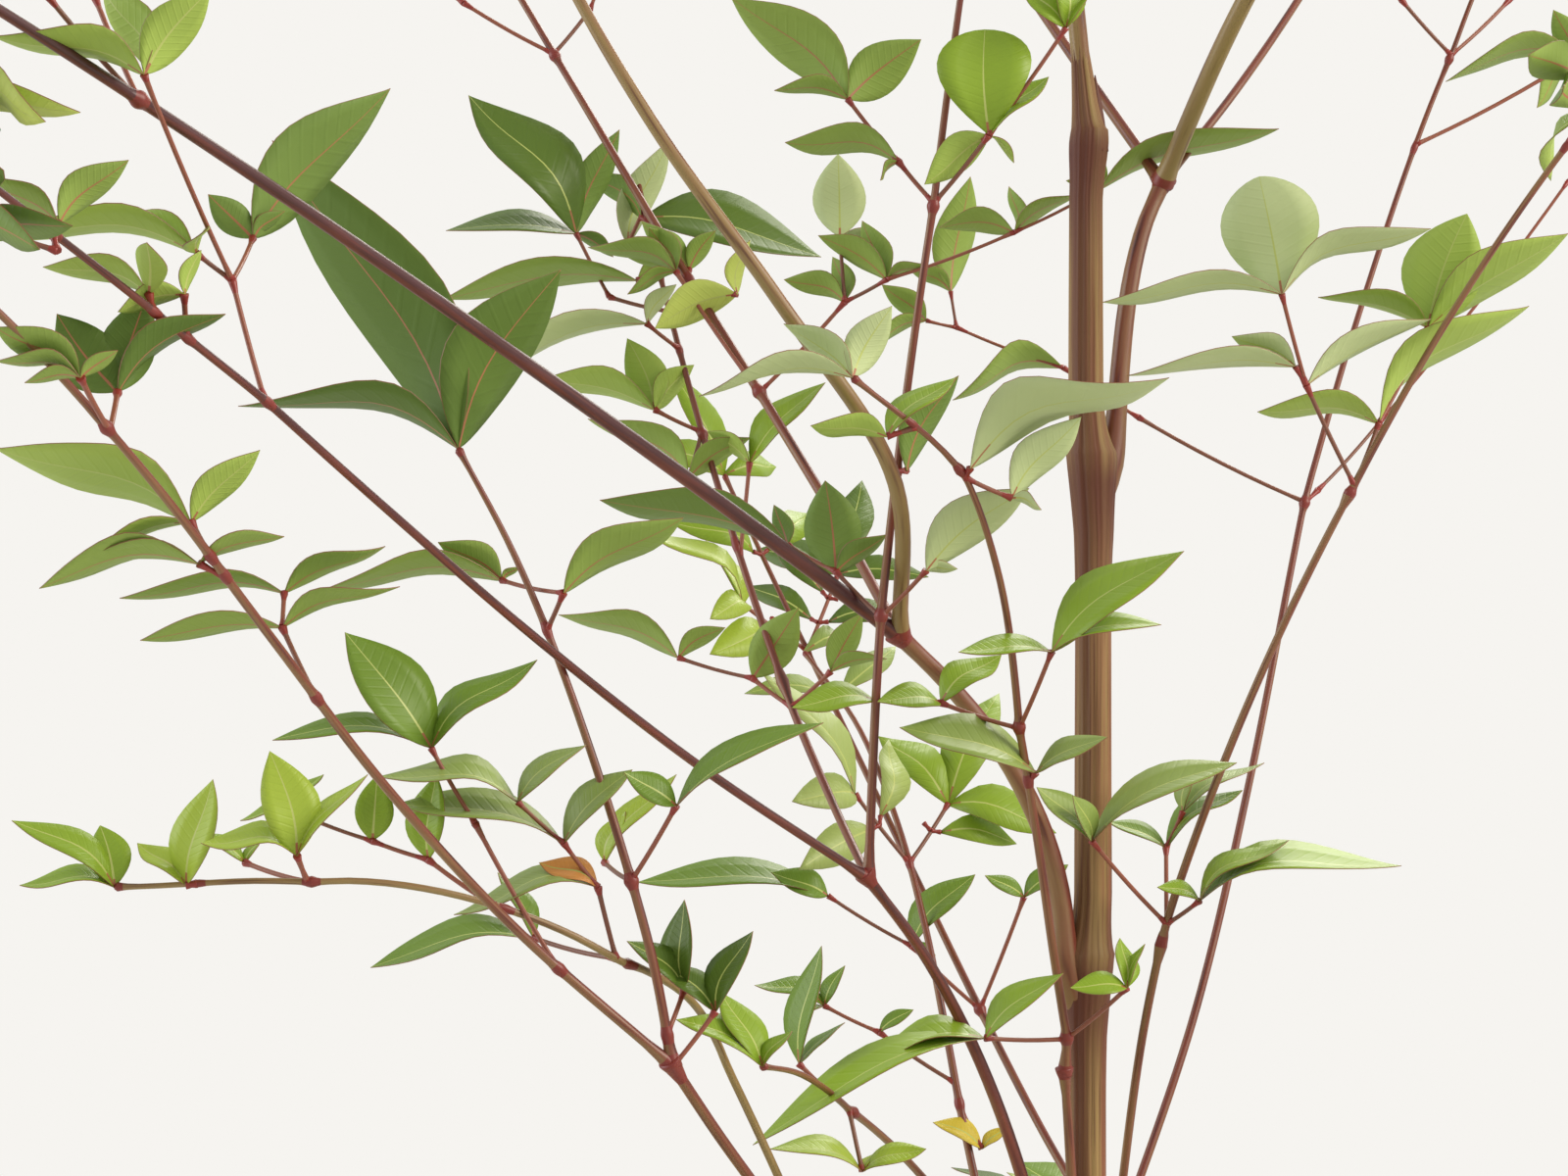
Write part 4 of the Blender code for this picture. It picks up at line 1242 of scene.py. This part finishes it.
def bark_material():
    """Fibrous bark: dull, olive-brown and grooved lengthways, red-brown in the sheaths at the knots, with painted shade
    in two dark bands down opposite sides.
    """
    cane = bpy.context.scene.bamboo.cane
    made, tree, shader = surface("fibrous bark")
    uv = node(tree, "ShaderNodeUVMap", uv_map="stem").outputs["UV"]
    # Fibres 0.9 mm apart round the cane and about 60 mm long
    spread = node(tree, "ShaderNodeMapping", {"Vector": uv, "Scale": (46.0, 16.0, 1.0)}).outputs["Vector"]
    fibre = node(tree, "ShaderNodeTexNoise", {"Vector": spread, "Scale": 1.0, "Detail": 3.0}).outputs["Fac"]
    wide = node(tree, "ShaderNodeMapping", {"Vector": uv, "Scale": (9.0, 5.0, 1.0)}).outputs["Vector"]
    patch = node(tree, "ShaderNodeTexNoise", {"Vector": wide, "Scale": 1.0, "Detail": 2.0}).outputs["Fac"]
    knot = node(tree, "ShaderNodeAttribute", attribute_name="knot").outputs["Fac"]
    # Painted shade: the bark darkens in two bands down opposite sides of the cane, one towards the front, broken up by
    # the patches
    round_ = node(tree, "ShaderNodeSeparateXYZ", {"Vector": uv}).outputs["X"]
    round_ = node(tree, "ShaderNodeMath", {0: round_, 1: 4 * math.pi, 2: -4 * math.pi * PAINTED_SHADE_SIDE}, operation="MULTIPLY_ADD")
    dark = node(tree, "ShaderNodeMath", {0: round_.outputs[0]}, operation="COSINE").outputs[0]
    dark = node(tree, "ShaderNodeMath", {0: patch, 1: 2.4, 2: dark}, operation="MULTIPLY_ADD").outputs[0]
    base = mix(tree, ramp(tree, patch, 0.38, 0.62), cane.olive, cane.brown)
    base = mix(tree, ramp(tree, fibre, 0.52, 0.74), base, linear("#5a3426"))
    base = mix(tree, ramp(tree, fibre, 0.42, 0.26), base, linear("#97824f"))
    painted_shade = node(tree, "ShaderNodeMapRange", {"Value": dark, "From Min": 0.9, "From Max": 2.1, "To Max": 0.8})
    base = mix(tree, painted_shade.outputs["Result"], base, cane.dark)
    base = mix(tree, knot, base, cane.knot)
    tree.links.new(base, shader.inputs["Base Color"])
    shader.inputs["Specular IOR Level"].default_value = 0.3
    rough = node(tree, "ShaderNodeMapRange", {"Value": fibre, "To Min": 0.42, "To Max": 0.66}).outputs["Result"]
    tree.links.new(rough, shader.inputs["Roughness"])
    bump = node(tree, "ShaderNodeBump", {"Height": fibre, "Strength": 0.6, "Distance": 0.0004})
    tree.links.new(bump.outputs["Normal"], shader.inputs["Normal"])
    return made


def skin_material():
    """Waxy stalk skin: satin, maroon on the sunny side over olive, with fine ridges and dark speckles, and painted
    shade that darkens the reddest stalks further.
    """
    stalks = bpy.context.scene.bamboo.stalks
    made, tree, shader = surface("waxy stalk skin")
    uv = node(tree, "ShaderNodeUVMap", uv_map="stem").outputs["UV"]
    parts = node(tree, "ShaderNodeSeparateXYZ", {"Vector": uv})
    turn = node(tree, "ShaderNodeMath", {0: parts.outputs["X"], 1: 2 * math.pi}, operation="MULTIPLY").outputs[0]
    side = node(tree, "ShaderNodeMath", {0: turn}, operation="COSINE").outputs[0]
    # Ridges about 1.5 mm apart and streaks about 30 mm long
    spread = node(tree, "ShaderNodeMapping", {"Vector": uv, "Scale": (9.0, 32.0, 1.0)}).outputs["Vector"]
    streak = node(tree, "ShaderNodeTexNoise", {"Vector": spread, "Scale": 1.0, "Detail": 1.0}).outputs["Fac"]
    blush = node(tree, "ShaderNodeAttribute", attribute_name="blush").outputs["Fac"]
    sun_side_and_shade = node(tree, "ShaderNodeMath", {0: side, 1: 0.5, 2: blush}, operation="MULTIPLY_ADD").outputs[0]
    redness_and_shade = node(tree, "ShaderNodeMath", {0: streak, 1: 1.6, 2: sun_side_and_shade}, operation="MULTIPLY_ADD").outputs[0]
    base = mix(tree, ramp(tree, redness_and_shade, 0.35, 1.75), stalks.olive, stalks.maroon)
    # Painted shade: where the redness runs highest the skin darkens further
    base = mix(tree, ramp(tree, redness_and_shade, 1.75, 2.5), base, stalks.painted_shade_plum)
    base = mix(tree, ramp(tree, streak, 0.58, 0.80), base, linear("#4a2721"))
    tree.links.new(base, shader.inputs["Base Color"])
    shader.inputs["Roughness"].default_value = 0.38
    bump = node(tree, "ShaderNodeBump", {"Height": streak, "Strength": 0.3, "Distance": 0.0002})
    tree.links.new(bump.outputs["Normal"], shader.inputs["Normal"])
    return made


def plain_skin(name, colour, rough=0.4):
    """Thin skin of twigs and joints: a plain colour with a slightly uneven sheen."""
    made, tree, shader = surface(name)
    shader.inputs["Base Color"].default_value = (*colour, 1)
    where = node(tree, "ShaderNodeTexCoord").outputs["Object"]
    grain = node(tree, "ShaderNodeTexNoise", {"Vector": where, "Scale": 120.0, "Detail": 1.0}).outputs["Fac"]
    shine = node(tree, "ShaderNodeMapRange", {"Value": grain, "To Min": rough - 0.06, "To Max": rough + 0.06})
    tree.links.new(shine.outputs["Result"], shader.inputs["Roughness"])
    return made


def blade_material(name, code, rough, under):
    """Leathery leaf blade: one plain green, a glossy upper side or a duller underside, with faint side veins."""
    made, tree, shader = surface(name)
    shader.inputs["Base Color"].default_value = (*linear(code), 1)
    uv = node(tree, "ShaderNodeUVMap", uv_map="blade").outputs["UV"]
    parts = node(tree, "ShaderNodeSeparateXYZ", {"Vector": uv})
    side = node(tree, "ShaderNodeMath", {0: parts.outputs["Y"]}, operation="ABSOLUTE").outputs[0]
    # Side veins about 4 mm apart, leaning towards the tip
    lean = node(tree, "ShaderNodeMath", {0: side, 1: -0.16, 2: parts.outputs["X"]}, operation="MULTIPLY_ADD")
    turn = node(tree, "ShaderNodeMath", {0: lean.outputs[0], 1: 80.0}, operation="MULTIPLY").outputs[0]
    wave = node(tree, "ShaderNodeMath", {0: turn}, operation="SINE").outputs[0]
    vein = ramp(tree, wave, 0.55, 1.0)
    where = node(tree, "ShaderNodeTexCoord").outputs["Object"]
    pore = node(tree, "ShaderNodeTexNoise", {"Vector": where, "Scale": 160.0, "Detail": 1.0}).outputs["Fac"]
    height = node(tree, "ShaderNodeMath", {0: vein, 1: 0.4 if under else -0.4, 2: pore}, operation="MULTIPLY_ADD")
    bump = node(tree, "ShaderNodeBump", {"Height": height.outputs[0], "Strength": 0.45, "Distance": 0.0003})
    tree.links.new(bump.outputs["Normal"], shader.inputs["Normal"])
    shader.inputs["Roughness"].default_value = rough
    shader.inputs["Specular IOR Level"].default_value = 0.2 if under else 0.34
    return made


def cane_radius(height, angle):
    """The cane's radius: root flare, taper, grooves, and a sheath that swells towards the stalk at each knot."""
    cane = bpy.context.scene.bamboo.cane
    radius = cane.foot + (cane.top - cane.foot) * height / CANE_HEIGHT
    crest = height - CANE_HEIGHT + 0.004
    radius += 0.0012 * math.exp(-((crest / 0.011) ** 2))
    if crest > 0:
        radius += (0.0030 - cane.top) * min(1.0, crest / 0.032) ** 1.1
    flare = max(0.0, 1 - height / cane.flare_height)
    lobes = 1 + 0.16 * math.cos(5 * angle + 0.6) * flare
    radius += (cane.flare - cane.foot) * flare**2 * lobes
    groove = math.cos(11 * angle + 1.3 * math.sin(height * 19)) + 0.8 * math.cos(17 * angle - height * 9)
    groove += 0.6 * math.cos(27 * angle + height * 14)
    radius += cane.groove * groove * 0.45
    for leaf in LEAVES:
        if not 0 < leaf.height < CANE_HEIGHT:
            continue
        below = height - leaf.height
        if -0.05 < below < 0.03:
            toward = 0.5 + 0.5 * math.cos(angle - math.radians(leaf.stalk.turns[0]))
            rise = math.exp(-((below / 0.010) ** 2)) if below > 0 else max(0.0, 1 + below / 0.05) ** 2
            radius += (0.0016 + 0.0024 * toward**2) * rise
            radius += 0.0005 * math.exp(-(((below - 0.004) / 0.0016) ** 2))
    for scar in SCAR_HEIGHTS:
        below = height - scar
        radius += 0.0011 * math.exp(-((below / 0.006) ** 2)) - 0.0005 * math.exp(-(((below - 0.004) / 0.0012) ** 2))
    return radius


class BambooOperator:
    """What the operators share: one undo step each."""

    bl_options = {"REGISTER", "UNDO"}


class BAMBOO_OT_cane(BambooOperator, Operator):
    """Make the grooved cane with its root flare, knots and leaf sheaths"""

    bl_idname = "bamboo.cane"
    bl_label = "Cane"

    def execute(self, context):
        heights, height = [], 0.0
        while height < CANE_HEIGHT - 0.0005:
            heights.append(height)
            near = min(abs(height - knot) for knot in knots())
            height += 0.0018 if near < 0.014 else 0.0035
        heights.append(CANE_HEIGHT)
        line = [Vector((cane_jog(h), 0, h)) for h in heights]
        stalk = grow().stalks["crest_stalk"]
        for k in range(1, 21):
            place, _ = at(stalk, 0.26 * k / 20)
            heights.append(place.z)
            line.append(line[-1].lerp(place, min(1.0, 0.2 + 0.06 * k)))
        sides = 96
        shape = bmesh.new()
        map_ = shape.loops.layers.uv.new("stem")
        knot_layer = shape.verts.layers.float.new("knot")
        bmesh.ops.create_grid(shape, x_segments=sides, y_segments=len(line) - 1, size=0.5)
        place = {}
        for vert in shape.verts:
            i = round((vert.co.x + 0.5) * sides)
            j = round((vert.co.y + 0.5) * (len(line) - 1))
            angle = 2 * math.pi * i / sides
            out = Vector((math.cos(angle), math.sin(angle), 0))
            place[vert] = (i / sides, heights[j])
            vert.co = line[j] + out * cane_radius(heights[j], angle)
            red = 0.0
            for leaf in LEAVES:
                if leaf.height:
                    below = heights[j] - leaf.height + 0.008
                    toward = 0.84 + 0.16 * math.cos(angle - math.radians(leaf.stalk.turns[0]))
                    span = 0.032 if below < 0 else 0.010
                    red = max(red, toward * math.exp(-((below / span) ** 2)))
            vert[knot_layer] = min(1.0, red)
        for face in shape.faces:
            face.smooth = True
            for loop in face.loops:
                loop[map_].uv = place[loop.vert]
        bmesh.ops.remove_doubles(shape, verts=shape.verts, dist=1e-7)
        rims = [edge for edge in shape.edges if edge.is_boundary]
        bmesh.ops.holes_fill(shape, edges=rims, sides=0)
        bmesh.ops.recalc_face_normals(shape, faces=shape.faces)
        piece("cane_bark", shape, [bark_material()], "bark", ["cane"])
        return {"FINISHED"}


class BAMBOO_OT_bud(BambooOperator, Operator):
    """Make the dry bud scales that close the cane's top beside the crest's stalk"""

    bl_idname = "bamboo.bud"
    bl_label = "Bud"

    def execute(self, context):
        total = bmesh.new()
        dice = random.Random(5)
        top = Vector((cane_jog(CANE_HEIGHT), 0, CANE_HEIGHT))
        for i, (turn, reach) in enumerate(((345, 0.027), (15, 0.020), (312, 0.016), (40, 0.014))):
            foot = top + heading(turn, 0) * 0.0046 - Vector((0, 0, 0.008))
            out = (Vector((0, 0, 1)) - heading(turn, 0) * 0.10).normalized()
            line = [foot + out * reach * k / 7 for k in range(8)]
            girth = 0.0019 - 0.0002 * i
            append(total, tube(line, lambda s, a: girth * (1 - s**2) * (1 + 0.15 * math.cos(5 * a)) + 0.0002, 10, lambda s: 0))
        stalks = context.scene.bamboo.stalks
        piece("bud_scales", total, [plain_skin("dry bud scale", linear("#6b3f33"), 0.6)], "bark")
        return {"FINISHED"}


def stem_radius(length, start, end, joints=(), knuckle=0.0, root=0.0, spread=0.006, sunk=0.0):
    """The radius of a stalk or limb at a share and angle: taper, ridges, swollen joints and a swollen foot."""

    def radius(share, angle):
        size = start + (end - start) * share**1.6
        size *= 1 + 0.03 * math.cos(5 * angle + 2 * share)
        for joint in joints:
            away = (share - joint) * length
            size += 0.0005 * math.exp(-((away / 0.0020) ** 2)) * min(1.0, size / 0.0014)
        foot = share * length - sunk
        size += root * math.exp(-((foot / spread) ** 2))
        far = (1 - share) * length
        size += knuckle * math.exp(-((far / 0.0042) ** 2))
        return size * (0.55 if far < 0.0001 and knuckle else 1.0)

    return radius


def joint_paint(length, joints, reach, foot=0.0):
    """Slot 1 near a joint and along the foot, and slot 0 elsewhere."""

    def paint(share):
        near = any(abs(share - joint) * length < reach for joint in joints)
        return 1 if near or share * length < foot else 0

    return paint


class BAMBOO_OT_stalks(BambooOperator, Operator):
    """Make each leaf's main stalk and its limbs, with ridges, swollen joints and knuckles"""

    bl_idname = "bamboo.stalks"
    bl_label = "Stalks"

    def execute(self, context):
        stalks = context.scene.bamboo.stalks
        plant = grow()
        skin, red = skin_material(), plain_skin("red joint skin", stalks.joint)
        for leaf in LEAVES:
            total = bmesh.new()
            line = plant.stalks[leaf.stalk.name]
            ahead = (line[-1] - line[-2]).normalized()
            line = line + [line[-1] + ahead * KNUCKLE_RADIUS * k for k in (0.4, 0.75)]
            start = stalks.limb if leaf.parent else stalks.root
            if leaf.parent:
                line = [plant.knuckles[leaf.parent], *line]
            elif leaf.height < CANE_HEIGHT:
                turn = leaf.stalk.turns[0]
                inner = line[0] - heading(turn, 0) * 0.0082 - Vector((0, 0, 0.020))
                line = smooth([inner, line[0] - heading(turn, 0) * 0.0012, line[3]], 5)[:-1] + line[3:]
            else:
                line = [line[0] - Vector((0, 0, 0.006)), *line]
            line = smooth(line, 2)
            length = sum((b - a).length for a, b in zip(line, line[1:]))
            line = ringed(line, (), length)
            girth = GIRTH.get(leaf.stalk.name, LIMB_GIRTH)
            foot, sunk = (0.0, 0.0) if leaf.parent or leaf.height >= CANE_HEIGHT else (0.0014, 0.021)
            radius = stem_radius(length, start * girth, stalks.end * girth, (), 0.0018, foot, 0.012, sunk)
            paint = joint_paint(length, (1.0,), 0.007)
            append(total, tube(line, radius, 24, paint, BLUSH_AND_SHADE.get(leaf.stalk.name, COMMON_BLUSH_AND_SHADE)))
            for limb in leaf.limbs:
                points = smooth(plant.limbs[limb.name], 2)
                length = sum((b - a).length for a, b in zip(points, points[1:]))
                joints = plant.joints.get(limb.name, [])
                points = ringed(points, joints, length)
                girth = GIRTH.get(limb.name, LIMB_GIRTH)
                swell = stem_radius(length, stalks.limb * girth, stalks.limb_tip * girth**0.5, joints, 0.0004, 0.0011)
                paint = joint_paint(length, [*joints, 1.0], 0.0024, 0.005)
                append(total, tube(points, swell, 15, paint, BLUSH_AND_SHADE.get(limb.name, COMMON_BLUSH_AND_SHADE)))
            name = f"{leaf.name}_stalks"
            piece(name, total, [skin, red], "stalk", [leaf.stalk.name])
        return {"FINISHED"}


class BAMBOO_OT_twigs(BambooOperator, Operator):
    """Make the fine twigs that carry the leaflets, with their red joints"""

    bl_idname = "bamboo.twigs"
    bl_label = "Twigs"

    def execute(self, context):
        twigs = context.scene.bamboo.twigs
        plant = grow()
        skins = [
            plain_skin("russet twig skin", twigs.russet),
            plain_skin("red twig joint", twigs.joint),
            plain_skin("ruddy twig skin", twigs.ruddy),
        ]
        for leaf in LEAVES:
            total = bmesh.new()
            for i, twig in enumerate(plant.twigs):
                if twig.leaf != leaf.name:
                    continue
                span = twig.end - twig.start
                length = span.length
                sag = Vector((0, 0, -0.02 * length))
                steps = 10 if length > 0.012 else 4
                line = []
                for k in range(steps + 1):
                    share = k / steps
                    share = share * share * (3 - 2 * share)
                    line.append(twig.start + span * share + sag * 4 * share * (1 - share))
                girth = twigs.radius * twig.girth

                def radius(share, angle, girth=girth, length=length):
                    ends = min(share, 1 - share) * length
                    return girth * (1 + 0.75 * math.exp(-((ends / 0.0018) ** 2)))

                tone = 2 if i % 3 else 0
                red = min(0.35, 0.0032 / length)
                append(total, tube(line, radius, 7, lambda s: 1 if s < red or s > 1 - red else tone))
            piece(f"{leaf.name}_twigs", total, skins, "stalk")
        return {"FINISHED"}


FINE_COLUMNS = (-1.0, -0.55, -0.05, 0.05, 0.55, 1.0)
PLAIN_COLUMNS = (-1.0, -0.06, 0.06, 1.0)


def outline(share, blunt):
    """Half the blade's width at a share of its length, as a share of its widest half. A blunt blade is seen along
    its drooping tip, so it is widest towards its end."""
    foot, tip = 0.92 + 0.10 * blunt, 1.12 - 0.66 * blunt
    widest = foot / (foot + tip)
    most = widest**foot * (1 - widest) ** tip
    return share**foot * (1 - share) ** tip / most


def blade_shape(blade):
    """A leaflet: a flat outline cut to its own shape, given its thickness, then folded, arched and twisted."""
    leaflets = bpy.context.scene.bamboo.leaflets
    dice = random.Random(f"{blade.foot.x:.5f} {blade.tip.z:.5f}")
    columns = FINE_COLUMNS if blade.fine else PLAIN_COLUMNS
    along = 18 if blade.fine else 9
    blunt = min(max((leaflets.width * blade.wide - 0.62) / 0.30, 0.0), 1.0)
    length = (blade.tip - blade.foot).length
    half = length * leaflets.width * blade.wide / 2
    shape = bmesh.new()
    map_ = shape.loops.layers.uv.new("blade")
    bmesh.ops.create_grid(shape, x_segments=along, y_segments=len(columns) - 1, size=0.5)
    for vert in shape.verts:
        share = vert.co.x + 0.5
        share = 0.5 - 0.5 * math.cos(math.pi * share) if blade.fine else share
        across = columns[round((vert.co.y + 0.5) * (len(columns) - 1))]
        if abs(across) < 0.1:
            wide = (0.00036 * (1 - share) + 0.00008) * math.copysign(1, across)
            wide = math.copysign(min(abs(wide), half * outline(share, blunt) * 0.5), wide)
        else:
            wide = across * max(half * outline(share, blunt), 0.0005 * (1 - share))
        vert.co = Vector((share * length, wide, 0))
    bmesh.ops.remove_doubles(shape, verts=shape.verts, dist=1e-6)
    bmesh.ops.solidify(shape, geom=shape.faces, thickness=leaflets.thickness)
    bmesh.ops.recalc_face_normals(shape, faces=shape.faces)
    count = len(GREENS) + len(TINTS)
    ruddy = blade.tone < len(GREENS) and GREENS[blade.tone][0] in RED_RIBBED
    for face in shape.faces:
        face.smooth = True
        for loop in face.loops:
            loop[map_].uv = (loop.vert.co.x / length, loop.vert.co.y / half)
        middle = face.calc_center_median()
        rib = 2 * count + (middle.x < 0.12 * length) if abs(middle.y) < 0.0001 else None
        if face.normal.z > 0.5:
            face.material_index = rib or blade.tone
        elif face.normal.z < -0.5:
            face.material_index = (2 * count + 1 if rib and ruddy else rib) or count + blade.tone
        else:
            face.material_index = 2 * count + 2
            face.smooth = False
    arch = leaflets.arch * blade.arch
    droop = dice.uniform(0.1, 0.5)
    bow = dice.uniform(-0.04, 0.04)
    twist = dice.uniform(-0.35, 0.35)
    ripple = dice.uniform(0.0, 0.05)
    fold = leaflets.fold * dice.uniform(0.6, 1.5)
    start = dice.uniform(0, 6)
    for vert in shape.verts:
        x, y, z = vert.co
        share = x / length
        lift = fold * (math.sqrt(y * y + half * half * 0.01) - half * 0.1) * (1 - 0.5 * share)
        lift += ripple * abs(y) * math.sin(9 * share + start)
        turn = twist * (share - 0.3) * min(1.0, 4 * share) * (1 - share * 0.0)
        side, high = y * math.cos(turn) - (z + lift) * math.sin(turn), y * math.sin(turn) + (z + lift) * math.cos(turn)
        wave = math.sin(math.pi * share) + droop * math.sin(2 * math.pi * share)
        vert.co = Vector((x, side + bow * length * math.sin(math.pi * share), high + arch * length * wave))
    ahead = (blade.tip - blade.foot).normalized()
    across = blade.up.cross(ahead).normalized()
    turned = Matrix((ahead, across, ahead.cross(across))).transposed().to_4x4()
    bmesh.ops.transform(shape, matrix=Matrix.Translation(blade.foot) @ turned, verts=shape.verts)
    return shape


class BAMBOO_OT_leaflets(BambooOperator, Operator):
    """Make the leaflets of each leaf, coloured spray by spray"""

    bl_idname = "bamboo.leaflets"
    bl_label = "Leaflets"

    def execute(self, context):
        leaflets = context.scene.bamboo.leaflets
        plant = grow()
        room = Room(plant)
        tones = [(green[0], green[1], green[2]) for green in GREENS] + list(TINTS)
        skins = [blade_material(f"{name} upper side", upper, 0.40, False) for name, upper, _ in tones]
        skins += [blade_material(f"{name} underside", under, 0.52, True) for name, _, under in tones]
        skins.append(plain_skin("pale midrib", leaflets.midrib, 0.4))
        skins.append(plain_skin("reddish midrib foot", leaflets.midrib_foot, 0.5))
        skins.append(plain_skin("dark blade margin", leaflets.margin, 0.5))
        totals = {leaf.name: bmesh.new() for leaf in LEAVES}
        skipped = 0
        for blade in sorted(plant.blades, key=lambda b: not b.fine):
            if not blade.fine and in_sky(blade):
                skipped += 1
                continue
            shape = blade_shape(blade)
            own = (round(blade.foot.x, 2), round(blade.foot.z, 2))
            if not blade.fine and room.meets(shape, blade.foot, own):
                skipped += 1
                shape.free()
                continue
            room.add(shape, own)
            append(totals[blade.leaf], shape)
        print("leaflets", len(plant.blades) - skipped, "skipped", skipped, "faces", sum(len(t.faces) for t in totals.values()))
        for leaf in LEAVES:
            nodes = [limb.name for limb in leaf.limbs]
            piece(f"{leaf.name}_leaflets", totals[leaf.name], skins, "leaves", nodes)
        return {"FINISHED"}


class BAMBOO_OT_stage(BambooOperator, Operator):
    """Set the pale floor, the soft studio light and the camera"""

    bl_idname = "bamboo.stage"
    bl_label = "Stage"

    def execute(self, context):
        scene, stage = context.scene, context.scene.bamboo.stage
        shape = bmesh.new()
        bmesh.ops.create_grid(shape, x_segments=1, y_segments=1, size=stage.floor / 2)
        bmesh.ops.translate(shape, verts=shape.verts, vec=(0, 0, -0.0005))
        mesh = bpy.data.meshes.new("floor")
        shape.to_mesh(mesh)
        shape.free()
        paper, tree, shader = surface("matt paper")
        shader.inputs["Base Color"].default_value = (*(0.75 * part for part in stage.backdrop), 1)
        shader.inputs["Roughness"].default_value = 0.9
        mesh.materials.append(paper)
        floor = bpy.data.objects.new("floor", mesh)
        scene.collection.objects.link(floor)
        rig.stage(floor)
        camera = bpy.data.objects.new("camera", bpy.data.cameras.new("camera"))
        camera.data.sensor_width = 36
        camera.data.lens = 36 * -EYE.y / (PICTURE[0] * PIXEL)
        camera.location = EYE
        camera.rotation_euler = (math.pi / 2, 0, 0)
        scene.collection.objects.link(camera)
        scene.camera = camera
        lamps = (
            ("key", (2.1, -0.9, 2.0), 1.6, stage.key, "#fff6e8"),
            ("fill", (-2.3, -0.1, 1.4), 2.0, stage.fill, "#f6f7fb"),
            ("back", (0.6, 1.8, 2.3), 1.4, stage.back, "#fffaf0"),
        )
        for name, place, width, power, code in lamps:
            data = bpy.data.lights.new(name, "AREA")
            data.shape = "DISK"
            data.size = width
            data.energy = power
            data.color = linear(code)
            lamp = bpy.data.objects.new(name, data)
            lamp.location = place
            aim = Vector((0, 0, 0.8)) - Vector(place)
            lamp.rotation_euler = aim.to_track_quat("-Z", "Y").to_euler()
            scene.collection.objects.link(lamp)
        world = bpy.data.worlds.new("studio")
        world.use_nodes = True
        tree = world.node_tree
        tree.nodes.clear()
        seen = node(tree, "ShaderNodeBackground", {"Color": (*stage.backdrop, 1), "Strength": 1.0})
        glow = node(tree, "ShaderNodeBackground", {"Color": (*linear("#fbfaf6"), 1), "Strength": stage.glow})
        way = node(tree, "ShaderNodeLightPath")
        both = node(tree, "ShaderNodeMixShader")
        tree.links.new(way.outputs["Is Camera Ray"], both.inputs[0])
        tree.links.new(glow.outputs[0], both.inputs[1])
        tree.links.new(seen.outputs[0], both.inputs[2])
        out = node(tree, "ShaderNodeOutputWorld")
        tree.links.new(both.outputs[0], out.inputs["Surface"])
        scene.world = world
        scene.view_settings.view_transform = "Standard"
        return {"FINISHED"}


class BAMBOO_PT_panel(Panel):
    """Lists the steps that make the plant"""

    bl_idname = "BAMBOO_PT_panel"
    bl_label = "Heavenly bamboo"
    bl_space_type = "VIEW_3D"
    bl_region_type = "UI"
    bl_category = "Heavenly bamboo"

    def draw(self, context):
        settings = context.scene.bamboo
        for group, operator in zip(GROUPS, OPERATORS):
            box = self.layout.box()
            box.operator(operator.bl_idname)
            for key in getattr(settings, group).bl_rna.properties.keys() if group else ():
                if key not in ("rna_type", "name"):
                    box.prop(getattr(settings, group), key)


GROUPS = ("cane", "", "stalks", "twigs", "leaflets", "stage")
OPERATORS = (
    BAMBOO_OT_cane,
    BAMBOO_OT_bud,
    BAMBOO_OT_stalks,
    BAMBOO_OT_twigs,
    BAMBOO_OT_leaflets,
    BAMBOO_OT_stage,
)
CLASSES = (
    CaneSettings,
    StalkSettings,
    TwigSettings,
    LeafletSettings,
    StageSettings,
    BambooSettings,
    *OPERATORS,
    BAMBOO_PT_panel,
)


def register():
    for each in CLASSES:
        bpy.utils.register_class(each)
    bpy.types.Scene.bamboo = PointerProperty(type=BambooSettings)


def unregister():
    del bpy.types.Scene.bamboo
    for each in reversed(CLASSES):
        bpy.utils.unregister_class(each)


def main():
    register()
    bpy.ops.bamboo.cane()
    bpy.ops.bamboo.bud()
    bpy.ops.bamboo.stalks()
    bpy.ops.bamboo.twigs()
    bpy.ops.bamboo.leaflets()
    bpy.ops.bamboo.stage()
    boxes = {"cad": CAD_BOX, "visual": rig.bounds()}
    plain = {name: [list(corner) for corner in box] for name, box in boxes.items()}
    with open("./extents.json", "w") as out:
        json.dump(plain, out)


if __name__ == "__main__":
    main()
